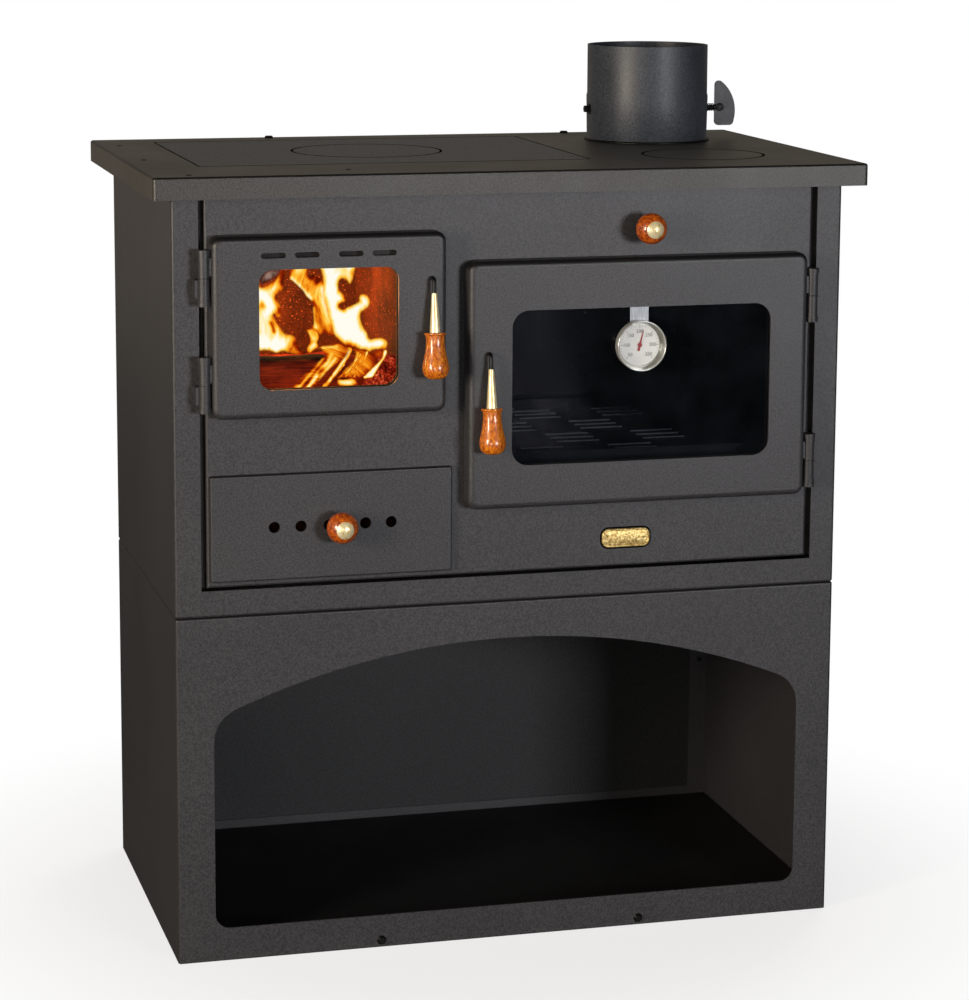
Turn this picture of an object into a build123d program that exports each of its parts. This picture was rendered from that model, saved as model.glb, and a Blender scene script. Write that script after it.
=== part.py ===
from build123d import *
import os
from math import cos, pi, radians, sin

# A wood cookstove: a firebox and an oven side by side in a sheet casing, an ash drawer
# under the firebox, a hob with a cast hotplate and a flue collar, on an open fuel plinth.
# Millimetres. +Z is up, the doors face -Y, and the origin is on the floor at the middle
# of the plinth.

# ---- overall sizes -----------------------------------------------------------------
body_depth = 382.0            # front face to the back of the rear sheet
plinth_height = 349.0         # floor to the waist line
casing_sheet = 2.0
fold_radius = 2.5             # outside radius where the two casings meet
corner_radius = 3.0           # upright folded corners
flange_width = 22.0           # inturned flanges of both casings
back_flange_top = 7.0         # the top and bottom flanges along the back are narrower

# ---- hob ---------------------------------------------------------------------------
hob_overhang_side = 20.0
hob_overhang_front = 20.0
hob_overhang_back = 28.0
hob_rim = 22.0                # height of the turned-down edge
hob_sheet = 3.0
hob_corner = 4.0
ledge_sheet = 3.0             # rings under the hob that carry the loose plates
ledge_lap = 9.0               # how far a ring reaches in under a plate
ledge_weld = 6.0              # how far a ring reaches out under the hob
plate_gap = 0.7               # gap round a loose plate
seat_gap = 0.3                # gap under a loose plate
hotplate_left_inset = 63.0
hotplate_front_inset = 105.0
hotplate_back_inset = 45.0
hotplate_flue_gap = 66.0      # hotplate to the flue collar
hotplate_thick = 10.0
lid_radius = 76.0
lid_thick = 9.0
lid_rim = 5.7
lid_lap = 8.0
cover_radius = 61.0
cover_thick = 8.0
cover_front_inset = 133.0
plug_radius = 5.0             # domed plugs at the back edge of the hob
plug_shank = 3.0
plug_rise = 2.2
plug_inset = 10.0
plug_spacing = 334.0

# ---- flue collar and damper --------------------------------------------------------
flue_radius = 65.0
flue_wall = 2.0
flue_height = 103.0
flue_swage = 0.8              # how much smaller the upper stretch is
flue_right_inset = 129.0      # from the hob's right edge to the flue axis
flue_back_inset = 110.0       # from the hob's back edge to the flue axis
flue_lower_height = 48.0
flue_step = 3.0
weld_bead = 1.6
saddle_width = 12.0           # blade's saddles on the shaft
damper_height = 34.0          # shaft above the hob
damper_shaft_radius = 2.5
damper_clearance = 2.0        # blade to the inside of the collar
damper_sheet = 2.0
running_gap = 0.06            # radial clearance of a shaft in its hole
damper_handle_thick = 2.5
damper_handle_height = 48.5
damper_handle_width = 23.0
damper_handle_drop = 20.0     # from the shaft to the handle's lower edge
damper_handle_foot = 5.0      # radius of the handle's lower corners
damper_handle_shoulder = 4.0  # height of its rounded upper corner
damper_handle_tip = 8.0       # left edge to the start of its convex edge
spring_length = 12.5
spring_wire = 1.1
spring_radius = 3.7           # to the middle of the wire
spring_turns = 5
spring_end_gap = 0.9
damper_nut_radius = 4.0
damper_nut_length = 4.5
damper_nut_chamfer = 0.8
damper_shaft_end = 1.0        # shaft that shows inside the nut
damper_eye_reach = 5.0        # handle's edge to the shaft's eye

# ---- upper casing and front panel --------------------------------------------------
border_side = 26.0            # flat border each side of the front panel
border_bottom = 26.0
groove_side = 5.5             # shadow groove between the border and the panel
groove_bottom = 3.0
panel_sheet = 2.5
panel_return = 12.0
panel_top_drop = 14.0         # below the hob surface, hidden by the rim

# ---- doors -------------------------------------------------------------------------
door_proud = 20.0             # panel to the door's face
door_seal_gap = 1.0           # panel to the door's back edge
door_sheet = 2.5
door_edge_radius = 6.0
door_corner = 10.0
liner_sheet = 2.0
glass_thick = 4.0
glass_front_gap = 1.0         # pressed sheet to the glass, where the dial's strip passes
glass_lap = 8.0
glass_corner = 5.0
gasket_width = 5.0
gasket_side_gap = 0.3         # inside of the door's flank to the rope
gasket_round = 1.75
collar_height = 3.0           # liner's collar that clamps the glass
fire_door_inset = 4.0         # panel's left edge to the door
fire_door_width = 230.0
fire_door_height = 176.5
fire_door_drop = 57.5         # hob surface to the door's top
fire_mouth_lap = 9.0          # door over the edge of the mouth
fire_window_left = 45.2       # door's edges to the window's
fire_window_right = 48.0
fire_window_drop = 32.5
fire_window_rise = 27.5
fire_window_corner = 13.0
air_slot_length = 24.0
air_slot_height = 5.4
air_slot_drop = 19.0
air_slot_pitch = 32.8
air_slot_middle = 43.1        # between the two inner slots
door_gap = 22.5               # between the two doors
oven_door_inset = 10.0        # oven door to the panel's right edge
oven_door_width = 350.5
oven_door_height = 246.0
oven_door_drop = 88.0         # hob surface to the door's top
oven_door_rise = 68.0         # panel's bottom to the door's bottom
oven_mouth_lap = 12.0
oven_window_left = 43.5
oven_window_right = 39.5
oven_window_drop = 49.0
oven_window_rise = 43.0
oven_window_corner = 17.0

# ---- hinges ------------------------------------------------------------------------
hinge_gap = 6.8               # door flank to the hinge axis
hinge_proud = 13.0            # panel to the hinge axis
hinge_radius = 5.5
hinge_ring = 6.3
hinge_length = 54.0
hinge_split = 0.4             # between the two halves
hinge_pin_radius = 3.0
hinge_pin_reach = 20.0
hinge_pin_bottom = 4.0        # lower end of the barrel to the pin
hinge_pin_end_gap = 0.5
hinge_ring_height = 4.6
hinge_fine_ring = 2.4
hinge_ring_gap = 0.8
hinge_pad = 17.0
hinge_pad_depth = 5.0
hinge_pad_reach = 3.0         # seat's pad past the barrel
hinge_pad_shift = 3.0         # pads lie this far towards the split
fire_hinge_top_drop = 12.5    # door's top to the upper hinge
fire_hinge_bottom_rise = 7.0
oven_hinge_top_drop = 16.5
oven_hinge_bottom_rise = 7.0

# ---- latches -----------------------------------------------------------------------
latch_rod_radius = 2.0
latch_bend = 4.0
latch_tail = 22.0             # turned-down end behind the front panel
latch_tail_depth = 8.0        # panel's front to the tail
latch_proud = 7.5             # door's face to the rod where it turns down
latch_drop = 14.0             # rod axis to the top of the brass cone
latch_lean = 5.0              # degrees, grip away from the door
ferrule_top_radius = 2.6
ferrule_bottom_radius = 5.3
ferrule_length = 38.0
grip_length = 45.0
grip_rim_radius = 10.6
grip_rim_height = 2.6
grip_neck_radius = 9.1
grip_belly_radius = 13.0
fire_latch_inset = 15.0       # door's free edge to the rod
fire_latch_drop = 44.5
oven_latch_inset = 19.8
oven_latch_drop = 90.4

# ---- ash drawer --------------------------------------------------------------------
drawer_inset = 3.0            # panel's left edge to the drawer front
drawer_past_door = 9.5        # drawer's right edge past the firebox door's
drawer_height = 105.0
drawer_rise = 6.0             # panel's bottom to the drawer front
drawer_front_depth = 6.0
drawer_front_gap = 0.5
drawer_front_corner = 2.5
drawer_mouth_lap = 13.0
drawer_mouth_top_lap = 10.0
ash_tray_clearance = 2.5
ash_tray_sheet = 1.5
ash_tray_back_gap = 39.0      # to the back of the inner body
primary_hole_radius = 5.6
primary_hole_offsets = (-57.8, -31.4, -3.5, 32.8, 58.6)
drawer_knob_offset = 5.8      # drawer's middle to the knob
runner_sheet = 2.0
runner_width = 16.0
runner_rise = 12.0
runner_past_tray = 4.0
runner_gap = 0.6              # ash tray to a rail's lip

# ---- knobs -------------------------------------------------------------------------
knob_radius = 15.4
knob_depth = 25.0
knob_back_radius = 8.0
knob_belly = 13.0             # back of the ball to its widest place
knob_stem = 5.5               # length that shows behind the ball
knob_stem_radius = 3.5
cap_radius = 8.6
cap_dome = 4.0
cap_rim = 0.6

# ---- bypass damper -----------------------------------------------------------------
bypass_inset = 11.3           # flue chamber's left wall to the rod
bypass_drop = 59.4            # hob surface to the rod
bypass_rod_radius = 4.0
bypass_plate_width = 76.0
bypass_plate_height = 50.0
bypass_plate_thick = 3.0
bypass_plate_gap = 0.5
bypass_stem = 11.0            # panel to the back of the knob
bypass_hole_lap = 5.0
flue_chamber_margin = 8.0     # flue opening to the chamber's front wall
flue_chamber_side = 20.0      # hotplate to the chamber's left wall

# ---- inner body, firebox and oven --------------------------------------------------
shell_sheet = 3.0
shell_side_gap = 2.0          # inside the front panel's returns
shell_back_gap = 6.0          # to the casing's rear flange
shell_floor_gap = 0.5
divider_sheet = 3.0
fire_shelf_drop = 35.0        # firebox mouth's sill to the shelf under it
fire_shelf_sheet = 3.0
brick_thick = 20.0
brick_drop = 87.0             # top of the inner body to the bricks
brick_front_gap = 16.0
brick_joint = 0.5
grate_side_inset = 24.0       # bricks to the grate
grate_end_inset = 46.5
grate_thick = 12.0
grate_slot = 8.0
grate_pitch = 18.0
grate_lap = 8.0               # grate over the edge of the shelf's opening
grate_corner = 6.0
oven_sheet = 2.0
oven_gas_channel = 36.5       # oven's back to the back of the inner body
oven_bead = 8.0
oven_bead_inset = 10.0        # mouth to the bead
oven_tray_rise = 27.0         # oven floor to the tray's surface
oven_tray_sheet = 1.5
oven_tray_rim = 10.0
oven_tray_gap = 1.5
oven_tray_back_gap = 14.5
oven_tray_front_gap = 16.0    # panel's front to the tray
tray_slot_length = 52.0
tray_slot_width = 6.0
tray_column_pitch = 93.0
tray_row_pitch = 21.0
tray_group_pitch = 70.0

# ---- thermometer -------------------------------------------------------------------
dial_x_inset = 176.5          # oven door's right edge to the dial's middle
dial_drop = 87.0              # door's top to the dial's middle
dial_radius = 25.0
dial_depth = 10.6
dial_wall = 1.0
dial_face_radius = 20.6
dial_face_depth = 8.6         # rim to the white face
dial_strip_width = 19.0
dial_strip_sheet = 0.8
dial_strip_tuck = 6.0
dial_strip_gap = 0.1
dial_sheet = 0.8
dial_edge_radius = 2.0
lens_thick = 1.2
lens_inset = 0.8              # cup's rim to the lens
pointer_length = 15.0
pointer_tail = 6.0
pointer_lean = 14.0           # degrees clockwise from the top
pointer_sheet = 0.6
pointer_lift = 0.8            # white face to the pointer
pointer_pin = 1.0
pointer_boss = 2.2
pointer_width = 2.2
pointer_tip = 0.5
pointer_pin_length = 1.3

# ---- plinth ------------------------------------------------------------------------
arch_side = 37.0              # casing's edge to the arch opening
arch_bottom = 33.0
arch_bottom_corner = 15.0
arch_crown = 38.0             # waist line to the arch's highest point
arch_rise = 65.0              # from the opening's sides to the highest point
arch_shoulder = 35.0
floor_height = 13.0
floor_gap = 0.3
stiffener_width = 60.0
stiffener_side = 40.0

# ---- badge and fasteners -----------------------------------------------------------
badge_offset = -7.0           # oven door's middle to the badge's
badge_drop = 39.0             # oven door's bottom to the badge's middle
badge_width = 51.6
badge_height = 21.0
badge_thick = 2.6
badge_corner = 5.0
badge_rim = 2.5
badge_recess = 0.9
badge_edge = 1.0
screw_radius = 2.5
screw_head_radius = 4.8
screw_head = 2.6
screw_length = 7.0
screw_hole_gap = 0.15
screw_dome = 0.6              # top of a head as a share of its foot
plug_taper = 30.0
plug_depth = 4.0
plinth_screw_spacing = 270.0
plinth_screw_rise = 7.0

# ---- planes and edges worked out from the sizes --------------------------------------
panel_width = (fire_door_inset + fire_door_width + door_gap + oven_door_width + oven_door_inset)
half_width = panel_width / 2 + groove_side + border_side
panel_half = panel_width / 2
panel_bottom = plinth_height + border_bottom + groove_bottom
stove_height = panel_bottom + oven_door_rise + oven_door_height + oven_door_drop
face_y = -body_depth / 2
rear_y = body_depth / 2
casing_back_y = rear_y - casing_sheet
hob_under = stove_height - hob_sheet
hob_left = -half_width - hob_overhang_side
hob_right = half_width + hob_overhang_side
hob_front_y = face_y - hob_overhang_front
hob_back_y = rear_y + hob_overhang_back
panel_top = stove_height - panel_top_drop
panel_back_y = face_y + panel_sheet
flue_x = hob_right - flue_right_inset
flue_y = hob_back_y - flue_back_inset
flue_bore = flue_radius - flue_wall
damper_z = stove_height + damper_height
door_face_y = face_y - door_proud
door_back_y = face_y - door_seal_gap
hinge_y = face_y - hinge_proud

fire_left = -panel_half + fire_door_inset
fire_right = fire_left + fire_door_width
fire_top = stove_height - fire_door_drop
fire_bottom = fire_top - fire_door_height
fire_window = (fire_left + fire_window_left, fire_right - fire_window_right,
               fire_bottom + fire_window_rise, fire_top - fire_window_drop)
fire_mouth = (fire_left + fire_mouth_lap, fire_right - fire_mouth_lap,
              fire_bottom + fire_mouth_lap, fire_top - fire_mouth_lap)
fire_hinge_x = fire_left - hinge_gap
fire_hinges_z = (fire_top - fire_hinge_top_drop - hinge_length, fire_bottom + fire_hinge_bottom_rise)
fire_latch_x = fire_right - fire_latch_inset
fire_latch_z = fire_top - fire_latch_drop

oven_right = panel_half - oven_door_inset
oven_left = oven_right - oven_door_width
oven_top = stove_height - oven_door_drop
oven_bottom = oven_top - oven_door_height
oven_window = (oven_left + oven_window_left, oven_right - oven_window_right,
               oven_bottom + oven_window_rise, oven_top - oven_window_drop)
oven_mouth = (oven_left + oven_mouth_lap, oven_right - oven_mouth_lap,
              oven_bottom + oven_mouth_lap, oven_top - oven_mouth_lap)
oven_hinge_x = oven_right + hinge_gap
oven_hinges_z = (oven_top - oven_hinge_top_drop - hinge_length, oven_bottom + oven_hinge_bottom_rise)
oven_latch_x = oven_left + oven_latch_inset
oven_latch_z = oven_top - oven_latch_drop

drawer_left = -panel_half + drawer_inset
drawer_right = fire_right + drawer_past_door
drawer_bottom = panel_bottom + drawer_rise
drawer_top = drawer_bottom + drawer_height
drawer_x = (drawer_left + drawer_right) / 2
drawer_z = (drawer_bottom + drawer_top) / 2
drawer_mouth = (drawer_left + drawer_mouth_lap, drawer_right - drawer_mouth_lap,
                drawer_bottom + drawer_mouth_top_lap, drawer_top - drawer_mouth_top_lap)
drawer_knob_x = drawer_x + drawer_knob_offset
drawer_face_y = face_y - drawer_front_depth

shell_half = panel_half - panel_sheet - shell_side_gap
shell_inner = shell_half - shell_sheet
shell_back_y = casing_back_y - casing_sheet - shell_back_gap
shell_back_inner = shell_back_y - shell_sheet
shell_bottom = panel_bottom + panel_sheet + shell_floor_gap
shell_floor = shell_bottom + shell_sheet
shell_top = hob_under - ledge_sheet
divider_x = (fire_mouth[1] + oven_mouth[0]) / 2
oven_roof = oven_mouth[3] + oven_sheet
oven_back_y = shell_back_inner - oven_gas_channel
shelf_top = fire_mouth[2] - fire_shelf_drop
bypass_z = stove_height - bypass_drop
chamber_front_y = flue_y - flue_bore - flue_chamber_margin
hotplate_x1 = flue_x - flue_radius - hotplate_flue_gap
chamber_left = hotplate_x1 + flue_chamber_side
bypass_x = chamber_left + bypass_inset
dial_x = oven_right - dial_x_inset
dial_z = oven_top - dial_drop

os.makedirs("parts", exist_ok=True)


# ---- helpers -----------------------------------------------------------------------
def front_plane(y):
    # sketch plane facing the room at depth y: sketch x is X, sketch y is Z
    return Plane.XZ.offset(-y)


def span(x0, x1, y0, y1, corner=0.0, mode=Mode.ADD):
    # rectangle between two corners of the sketch
    with Locations(((x0 + x1) / 2, (y0 + y1) / 2)):
        if corner > 0:
            RectangleRounded(x1 - x0, y1 - y0, corner, mode=mode)
        else:
            Rectangle(x1 - x0, y1 - y0, mode=mode)


def block(x0, x1, y0, y1, z0, z1, mode=Mode.ADD):
    # box between two corners of the part
    with Locations(((x0 + x1) / 2, (y0 + y1) / 2, (z0 + z1) / 2)):
        return Box(x1 - x0, y1 - y0, z1 - z0, mode=mode)


def write(piece, name):
    piece.part.label = name
    export_step(piece.part, f"parts/{name}.step")


# ---- hob ---------------------------------------------------------------------------
hotplate_x0 = hob_left + hotplate_left_inset
hotplate_y0 = hob_front_y + hotplate_front_inset
hotplate_y1 = hob_back_y - hotplate_back_inset
hotplate_x = (hotplate_x0 + hotplate_x1) / 2
hotplate_y = (hotplate_y0 + hotplate_y1) / 2
cover_x = flue_x
cover_y = hob_front_y + cover_front_inset
plug_y = hob_back_y - plug_inset
plate_seat_z = hob_under + seat_gap

with BuildPart() as top_frame:
    block(hob_left, hob_right, hob_front_y, hob_back_y, stove_height - hob_rim, stove_height)
    fillet(top_frame.edges().filter_by(Axis.Z), hob_corner)
    fillet(top_frame.faces().sort_by(Axis.Z)[-1].edges(), fold_radius)
    block(hob_left + hob_sheet, hob_right - hob_sheet, hob_front_y + hob_sheet, hob_back_y - hob_sheet,
          stove_height - hob_rim, hob_under, mode=Mode.SUBTRACT)
    with BuildSketch(Plane.XY.offset(hob_under)):
        span(hotplate_x0 - plate_gap, hotplate_x1 + plate_gap,
             hotplate_y0 - plate_gap, hotplate_y1 + plate_gap)
        with Locations((cover_x, cover_y)):
            Circle(cover_radius + plate_gap)
        with Locations((flue_x, flue_y)):
            Circle(flue_bore)
        with Locations((-plug_spacing / 2, plug_y), (plug_spacing / 2, plug_y)):
            Circle(plug_shank)
    extrude(amount=hob_sheet, mode=Mode.SUBTRACT)
write(top_frame, "top_frame")

# rings welded under the hob, on which the hotplate and the round cover sit
with BuildPart() as plate_ledges:
    with BuildSketch(Plane.XY.offset(hob_under - ledge_sheet)):
        span(hotplate_x0 - ledge_weld, hotplate_x1 + ledge_weld,
             hotplate_y0 - ledge_weld, hotplate_y1 + ledge_weld)
        span(hotplate_x0 + ledge_lap, hotplate_x1 - ledge_lap,
             hotplate_y0 + ledge_lap, hotplate_y1 - ledge_lap, mode=Mode.SUBTRACT)
        with Locations((cover_x, cover_y)):
            Circle(cover_radius + ledge_weld)
            Circle(cover_radius - ledge_lap, mode=Mode.SUBTRACT)
    extrude(amount=ledge_sheet)
write(plate_ledges, "plate_ledges")

with BuildPart() as hotplate:
    block(hotplate_x0, hotplate_x1, hotplate_y0, hotplate_y1, plate_seat_z, stove_height)
    hotplate_body_inset = ledge_lap + plate_gap
    block(hotplate_x0 + hotplate_body_inset, hotplate_x1 - hotplate_body_inset,
          hotplate_y0 + hotplate_body_inset, hotplate_y1 - hotplate_body_inset,
          stove_height - hotplate_thick, plate_seat_z)
    with Locations((hotplate_x, hotplate_y, stove_height)):
        CounterBoreHole(radius=lid_radius - lid_lap, counter_bore_radius=lid_radius + plate_gap,
                        counter_bore_depth=lid_rim + seat_gap, depth=hotplate_thick)
write(hotplate, "hotplate")

with BuildPart() as hotplate_lid:
    with BuildSketch(Plane.XY.offset(stove_height - lid_rim)):
        with Locations((hotplate_x, hotplate_y)):
            Circle(lid_radius)
    extrude(amount=lid_rim)
    with BuildSketch(Plane.XY.offset(stove_height - lid_thick)):
        with Locations((hotplate_x, hotplate_y)):
            Circle(lid_radius - lid_lap - plate_gap)
    extrude(amount=lid_thick - lid_rim)
write(hotplate_lid, "hotplate_lid")

with BuildPart() as round_cover:
    with BuildSketch(Plane.XY.offset(plate_seat_z)):
        with Locations((cover_x, cover_y)):
            Circle(cover_radius)
    extrude(amount=stove_height - plate_seat_z)
    with BuildSketch(Plane.XY.offset(stove_height - cover_thick)):
        with Locations((cover_x, cover_y)):
            Circle(cover_radius - ledge_lap - plate_gap)
    extrude(amount=cover_thick - (stove_height - plate_seat_z))
write(round_cover, "round_cover")

# ---- flue collar and its damper ------------------------------------------------------
upper_radius = flue_radius - flue_swage
flue_axis = Axis((flue_x, flue_y, 0), (0, 0, 1))
with BuildPart() as flue_collar:
    with BuildSketch(Plane((flue_x, flue_y, 0), x_dir=(1, 0, 0), z_dir=(0, -1, 0))):
        with BuildLine():
            Polyline((flue_bore - flue_swage, stove_height + flue_height),
                     (upper_radius, stove_height + flue_height),
                     (upper_radius, stove_height + flue_lower_height + flue_step),
                     (flue_radius, stove_height + flue_lower_height),
                     (flue_radius, stove_height + weld_bead),
                     (flue_radius + weld_bead, stove_height),
                     (flue_bore, stove_height),
                     (flue_bore, stove_height + flue_lower_height),
                     (flue_bore - flue_swage, stove_height + flue_lower_height + flue_step),
                     close=True)
        make_face()
    revolve(axis=flue_axis)
    with Locations((flue_x, flue_y, damper_z)):
        Cylinder(damper_shaft_radius + running_gap, 2 * flue_radius + 10, rotation=(0, 90, 0),
                 mode=Mode.SUBTRACT)
write(flue_collar, "flue_collar")

nut_end_x = flue_x - flue_radius - damper_nut_length - damper_shaft_end
handle_x0 = flue_x + flue_radius + spring_length + spring_wire / 2
shaft_end_x = handle_x0 + damper_eye_reach
with BuildPart() as damper_shaft:
    with BuildSketch(Plane.YZ.offset(nut_end_x)):
        with Locations((flue_y, damper_z)):
            Circle(damper_shaft_radius)
    extrude(amount=shaft_end_x - nut_end_x)
    # flattened eye at the handle's end
    with BuildSketch(front_plane(flue_y - damper_shaft_radius)):
        with Locations((shaft_end_x, damper_z)):
            Circle(damper_nut_radius)
    extrude(amount=-damper_shaft_radius)
write(damper_shaft, "damper_shaft")

blade_radius = flue_bore - damper_clearance
saddle_half = damper_shaft_radius + damper_sheet
with BuildPart() as damper_blade:
    with BuildSketch(front_plane(flue_y - damper_shaft_radius - damper_sheet)):
        with Locations((flue_x, damper_z)):
            Circle(blade_radius)
    extrude(amount=-damper_sheet)
    # two saddles that hold the blade on the shaft
    for side in (-1, 1):
        saddle_x = flue_x + side * blade_radius * 0.5
        block(saddle_x - saddle_width / 2, saddle_x + saddle_width / 2, flue_y - saddle_half,
              flue_y + saddle_half, damper_z - saddle_half, damper_z + saddle_half)
    with Locations((flue_x, flue_y, damper_z)):
        Cylinder(damper_shaft_radius, 2 * flue_radius, rotation=(0, 90, 0), mode=Mode.SUBTRACT)
write(damper_blade, "damper_blade")

handle_z0 = damper_z - damper_handle_drop
handle_z1 = handle_z0 + damper_handle_height
handle_x1 = handle_x0 + damper_handle_width - 1
handle_foot_x0 = handle_x0 + damper_handle_foot
handle_foot_x1 = handle_x1 - damper_handle_foot
handle_foot_z = handle_z0 + damper_handle_foot
handle_tip = (handle_x0 + damper_handle_tip, handle_z1 - 1)
handle_corner = (handle_x0, handle_z1 - damper_handle_shoulder)
with BuildPart() as damper_handle:
    with BuildSketch(front_plane(flue_y)) as handle_outline:
        with BuildLine():
            Line(handle_corner, (handle_x0, handle_foot_z))
            TangentArc((handle_x0, handle_foot_z), (handle_foot_x0, handle_z0), tangent=(0, -1))
            Line((handle_foot_x0, handle_z0), (handle_foot_x1, handle_z0))
            TangentArc((handle_foot_x1, handle_z0), (handle_x1, handle_foot_z), tangent=(1, 0))
            ThreePointArc((handle_x1, handle_foot_z), (handle_x1 - 1.2, damper_z + damper_handle_drop / 2),
                          handle_tip)
            ThreePointArc(handle_tip, (handle_x0 + 0.4 * damper_handle_tip, handle_z1), handle_corner)
        make_face()
    extrude(amount=-damper_handle_thick)
    with BuildSketch(Plane.YZ.offset(handle_x0)):
        with Locations((flue_y, damper_z)):
            Circle(damper_shaft_radius)
    extrude(amount=shaft_end_x - handle_x0, mode=Mode.SUBTRACT)
write(damper_handle, "damper_handle")

# coil spring between the collar and the handle: quarter turns, each of two tangent arcs
spring_x0 = flue_x + flue_radius + spring_end_gap
spring_x1 = handle_x0 - spring_end_gap
spring_pitch = (spring_x1 - spring_x0) / spring_turns
quarters = 4 * spring_turns


def coil_point(quarter):
    angle = quarter * pi / 2
    return Vector(spring_x0 + spring_pitch * quarter / 4, flue_y + spring_radius * cos(angle),
                  damper_z + spring_radius * sin(angle))


def coil_tangent(quarter):
    angle = quarter * pi / 2
    return Vector(spring_pitch / (2 * pi), -spring_radius * sin(angle),
                  spring_radius * cos(angle)).normalized()


with BuildPart() as damper_spring:
    with BuildLine() as coil:
        for quarter in range(quarters):
            start, end = coil_point(quarter), coil_point(quarter + 1)
            out, back = coil_tangent(quarter), coil_tangent(quarter + 1)
            chord = end - start
            # equal tangent lengths of the pair of arcs
            a = 2 - 2 * out.dot(back)
            b = 2 * chord.dot(out + back)
            c = -chord.dot(chord)
            reach = (-b + (b * b - 4 * a * c) ** 0.5) / (2 * a)
            joint = (start + out * reach + end - back * reach) / 2
            TangentArc(start, joint, tangent=out)
            TangentArc(joint, end, tangent=(end - back * reach - joint))
    with BuildSketch(Plane(origin=coil_point(0), z_dir=coil_tangent(0))):
        Circle(spring_wire / 2)
    sweep(path=coil.wire())
print("damper spring: least gap between turns", round(spring_pitch - spring_wire, 2), "mm")
write(damper_spring, "damper_spring")

with BuildPart() as damper_nut:
    with BuildSketch(Plane.YZ.offset(nut_end_x - damper_nut_chamfer)):
        with Locations((flue_y, damper_z)):
            RegularPolygon(damper_nut_radius, 6)
    extrude(amount=damper_nut_length)
    fillet(damper_nut.faces().sort_by(Axis.X)[0].edges(), damper_nut_chamfer)
    with BuildSketch(Plane.YZ.offset(nut_end_x)):
        with Locations((flue_y, damper_z)):
            Circle(damper_shaft_radius)
    extrude(amount=damper_nut_length, mode=Mode.SUBTRACT)
write(damper_nut, "damper_nut")


# ---- upper casing --------------------------------------------------------------------
def wrap_sheet(part, bottom, top):
    # sheet wrap of two sides and a front, with inturned flanges at the top, bottom and back
    block(-half_width, half_width, face_y, casing_back_y, bottom, top)
    fillet(part.edges().filter_by(Axis.Z), corner_radius)
    waist_face = part.faces().filter_by(Axis.Z).sort_by(lambda face: abs(face.center().Z - plinth_height))[0]
    fillet(waist_face.edges(), fold_radius)
    block(-half_width + casing_sheet, half_width - casing_sheet, face_y + casing_sheet,
          casing_back_y - casing_sheet, bottom + casing_sheet, top - casing_sheet, mode=Mode.SUBTRACT)
    # open middle of the top and bottom, inside the flanges
    block(-half_width + flange_width, half_width - flange_width, face_y + flange_width,
          casing_back_y - back_flange_top, bottom, top, mode=Mode.SUBTRACT)
    # open back, inside the flanges
    block(-half_width + flange_width, half_width - flange_width, casing_back_y - casing_sheet,
          casing_back_y, bottom + flange_width, top - flange_width, mode=Mode.SUBTRACT)


screw_hole = screw_radius + screw_hole_gap
rear_screw_x = half_width - flange_width / 2
rear_inset = flange_width / 2


def rear_screw_points(low, high):
    # fixing points of a rear sheet, on the middle of the casing's back flanges
    points = [(0, low), (0, high)]
    for x in (-rear_screw_x, rear_screw_x):
        for z in (low, (low + high) / 2, high):
            points.append((x, z))
    return points


upper_rear_points = rear_screw_points(plinth_height + rear_inset, hob_under - rear_inset)
plinth_rear_points = rear_screw_points(plinth_screw_rise, plinth_height - rear_inset)
plinth_front_points = [(-plinth_screw_spacing / 2, plinth_screw_rise),
                       (plinth_screw_spacing / 2, plinth_screw_rise)]

with BuildPart() as outer_casing:
    wrap_sheet(outer_casing, plinth_height, hob_under)
    with BuildSketch(front_plane(face_y)):
        span(-half_width + border_side, half_width - border_side,
             plinth_height + border_bottom, hob_under - flange_width / 2)
    extrude(amount=-casing_sheet, mode=Mode.SUBTRACT)
    with BuildSketch(front_plane(casing_back_y - casing_sheet)):
        with Locations(*upper_rear_points):
            Circle(screw_hole)
    extrude(amount=-casing_sheet, mode=Mode.SUBTRACT)
write(outer_casing, "outer_casing")

with BuildPart() as rear_panel:
    block(-half_width + casing_sheet, half_width - casing_sheet, casing_back_y, rear_y,
          plinth_height + casing_sheet, hob_under - casing_sheet)
    with BuildSketch(front_plane(casing_back_y)):
        with Locations(*upper_rear_points):
            Circle(screw_hole)
    extrude(amount=-casing_sheet, mode=Mode.SUBTRACT)
write(rear_panel, "rear_panel")

# ---- plinth --------------------------------------------------------------------------
arch_half = half_width - arch_side
arch_top = plinth_height - arch_crown
arch_spring = arch_top - arch_rise
with BuildPart() as plinth_casing:
    wrap_sheet(plinth_casing, 0, plinth_height)
    with BuildSketch(front_plane(face_y)) as arch:
        with BuildLine():
            Line((-arch_half, arch_spring), (-arch_half, arch_bottom))
            Line((-arch_half, arch_bottom), (arch_half, arch_bottom))
            Line((arch_half, arch_bottom), (arch_half, arch_spring))
            ThreePointArc((arch_half, arch_spring), (0, arch_top), (-arch_half, arch_spring))
        make_face()
        fillet(arch.vertices().group_by(Axis.Y)[0], arch_bottom_corner)
        fillet(arch.vertices().group_by(Axis.Y)[-1], arch_shoulder)
    extrude(amount=-casing_sheet, mode=Mode.SUBTRACT)
    with BuildSketch(front_plane(face_y)):
        with Locations(*plinth_front_points):
            Circle(screw_hole)
    extrude(amount=-casing_sheet, mode=Mode.SUBTRACT)
    with BuildSketch(front_plane(casing_back_y - casing_sheet)):
        with Locations(*plinth_rear_points):
            Circle(screw_hole)
    extrude(amount=-casing_sheet, mode=Mode.SUBTRACT)
write(plinth_casing, "plinth_casing")

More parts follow.
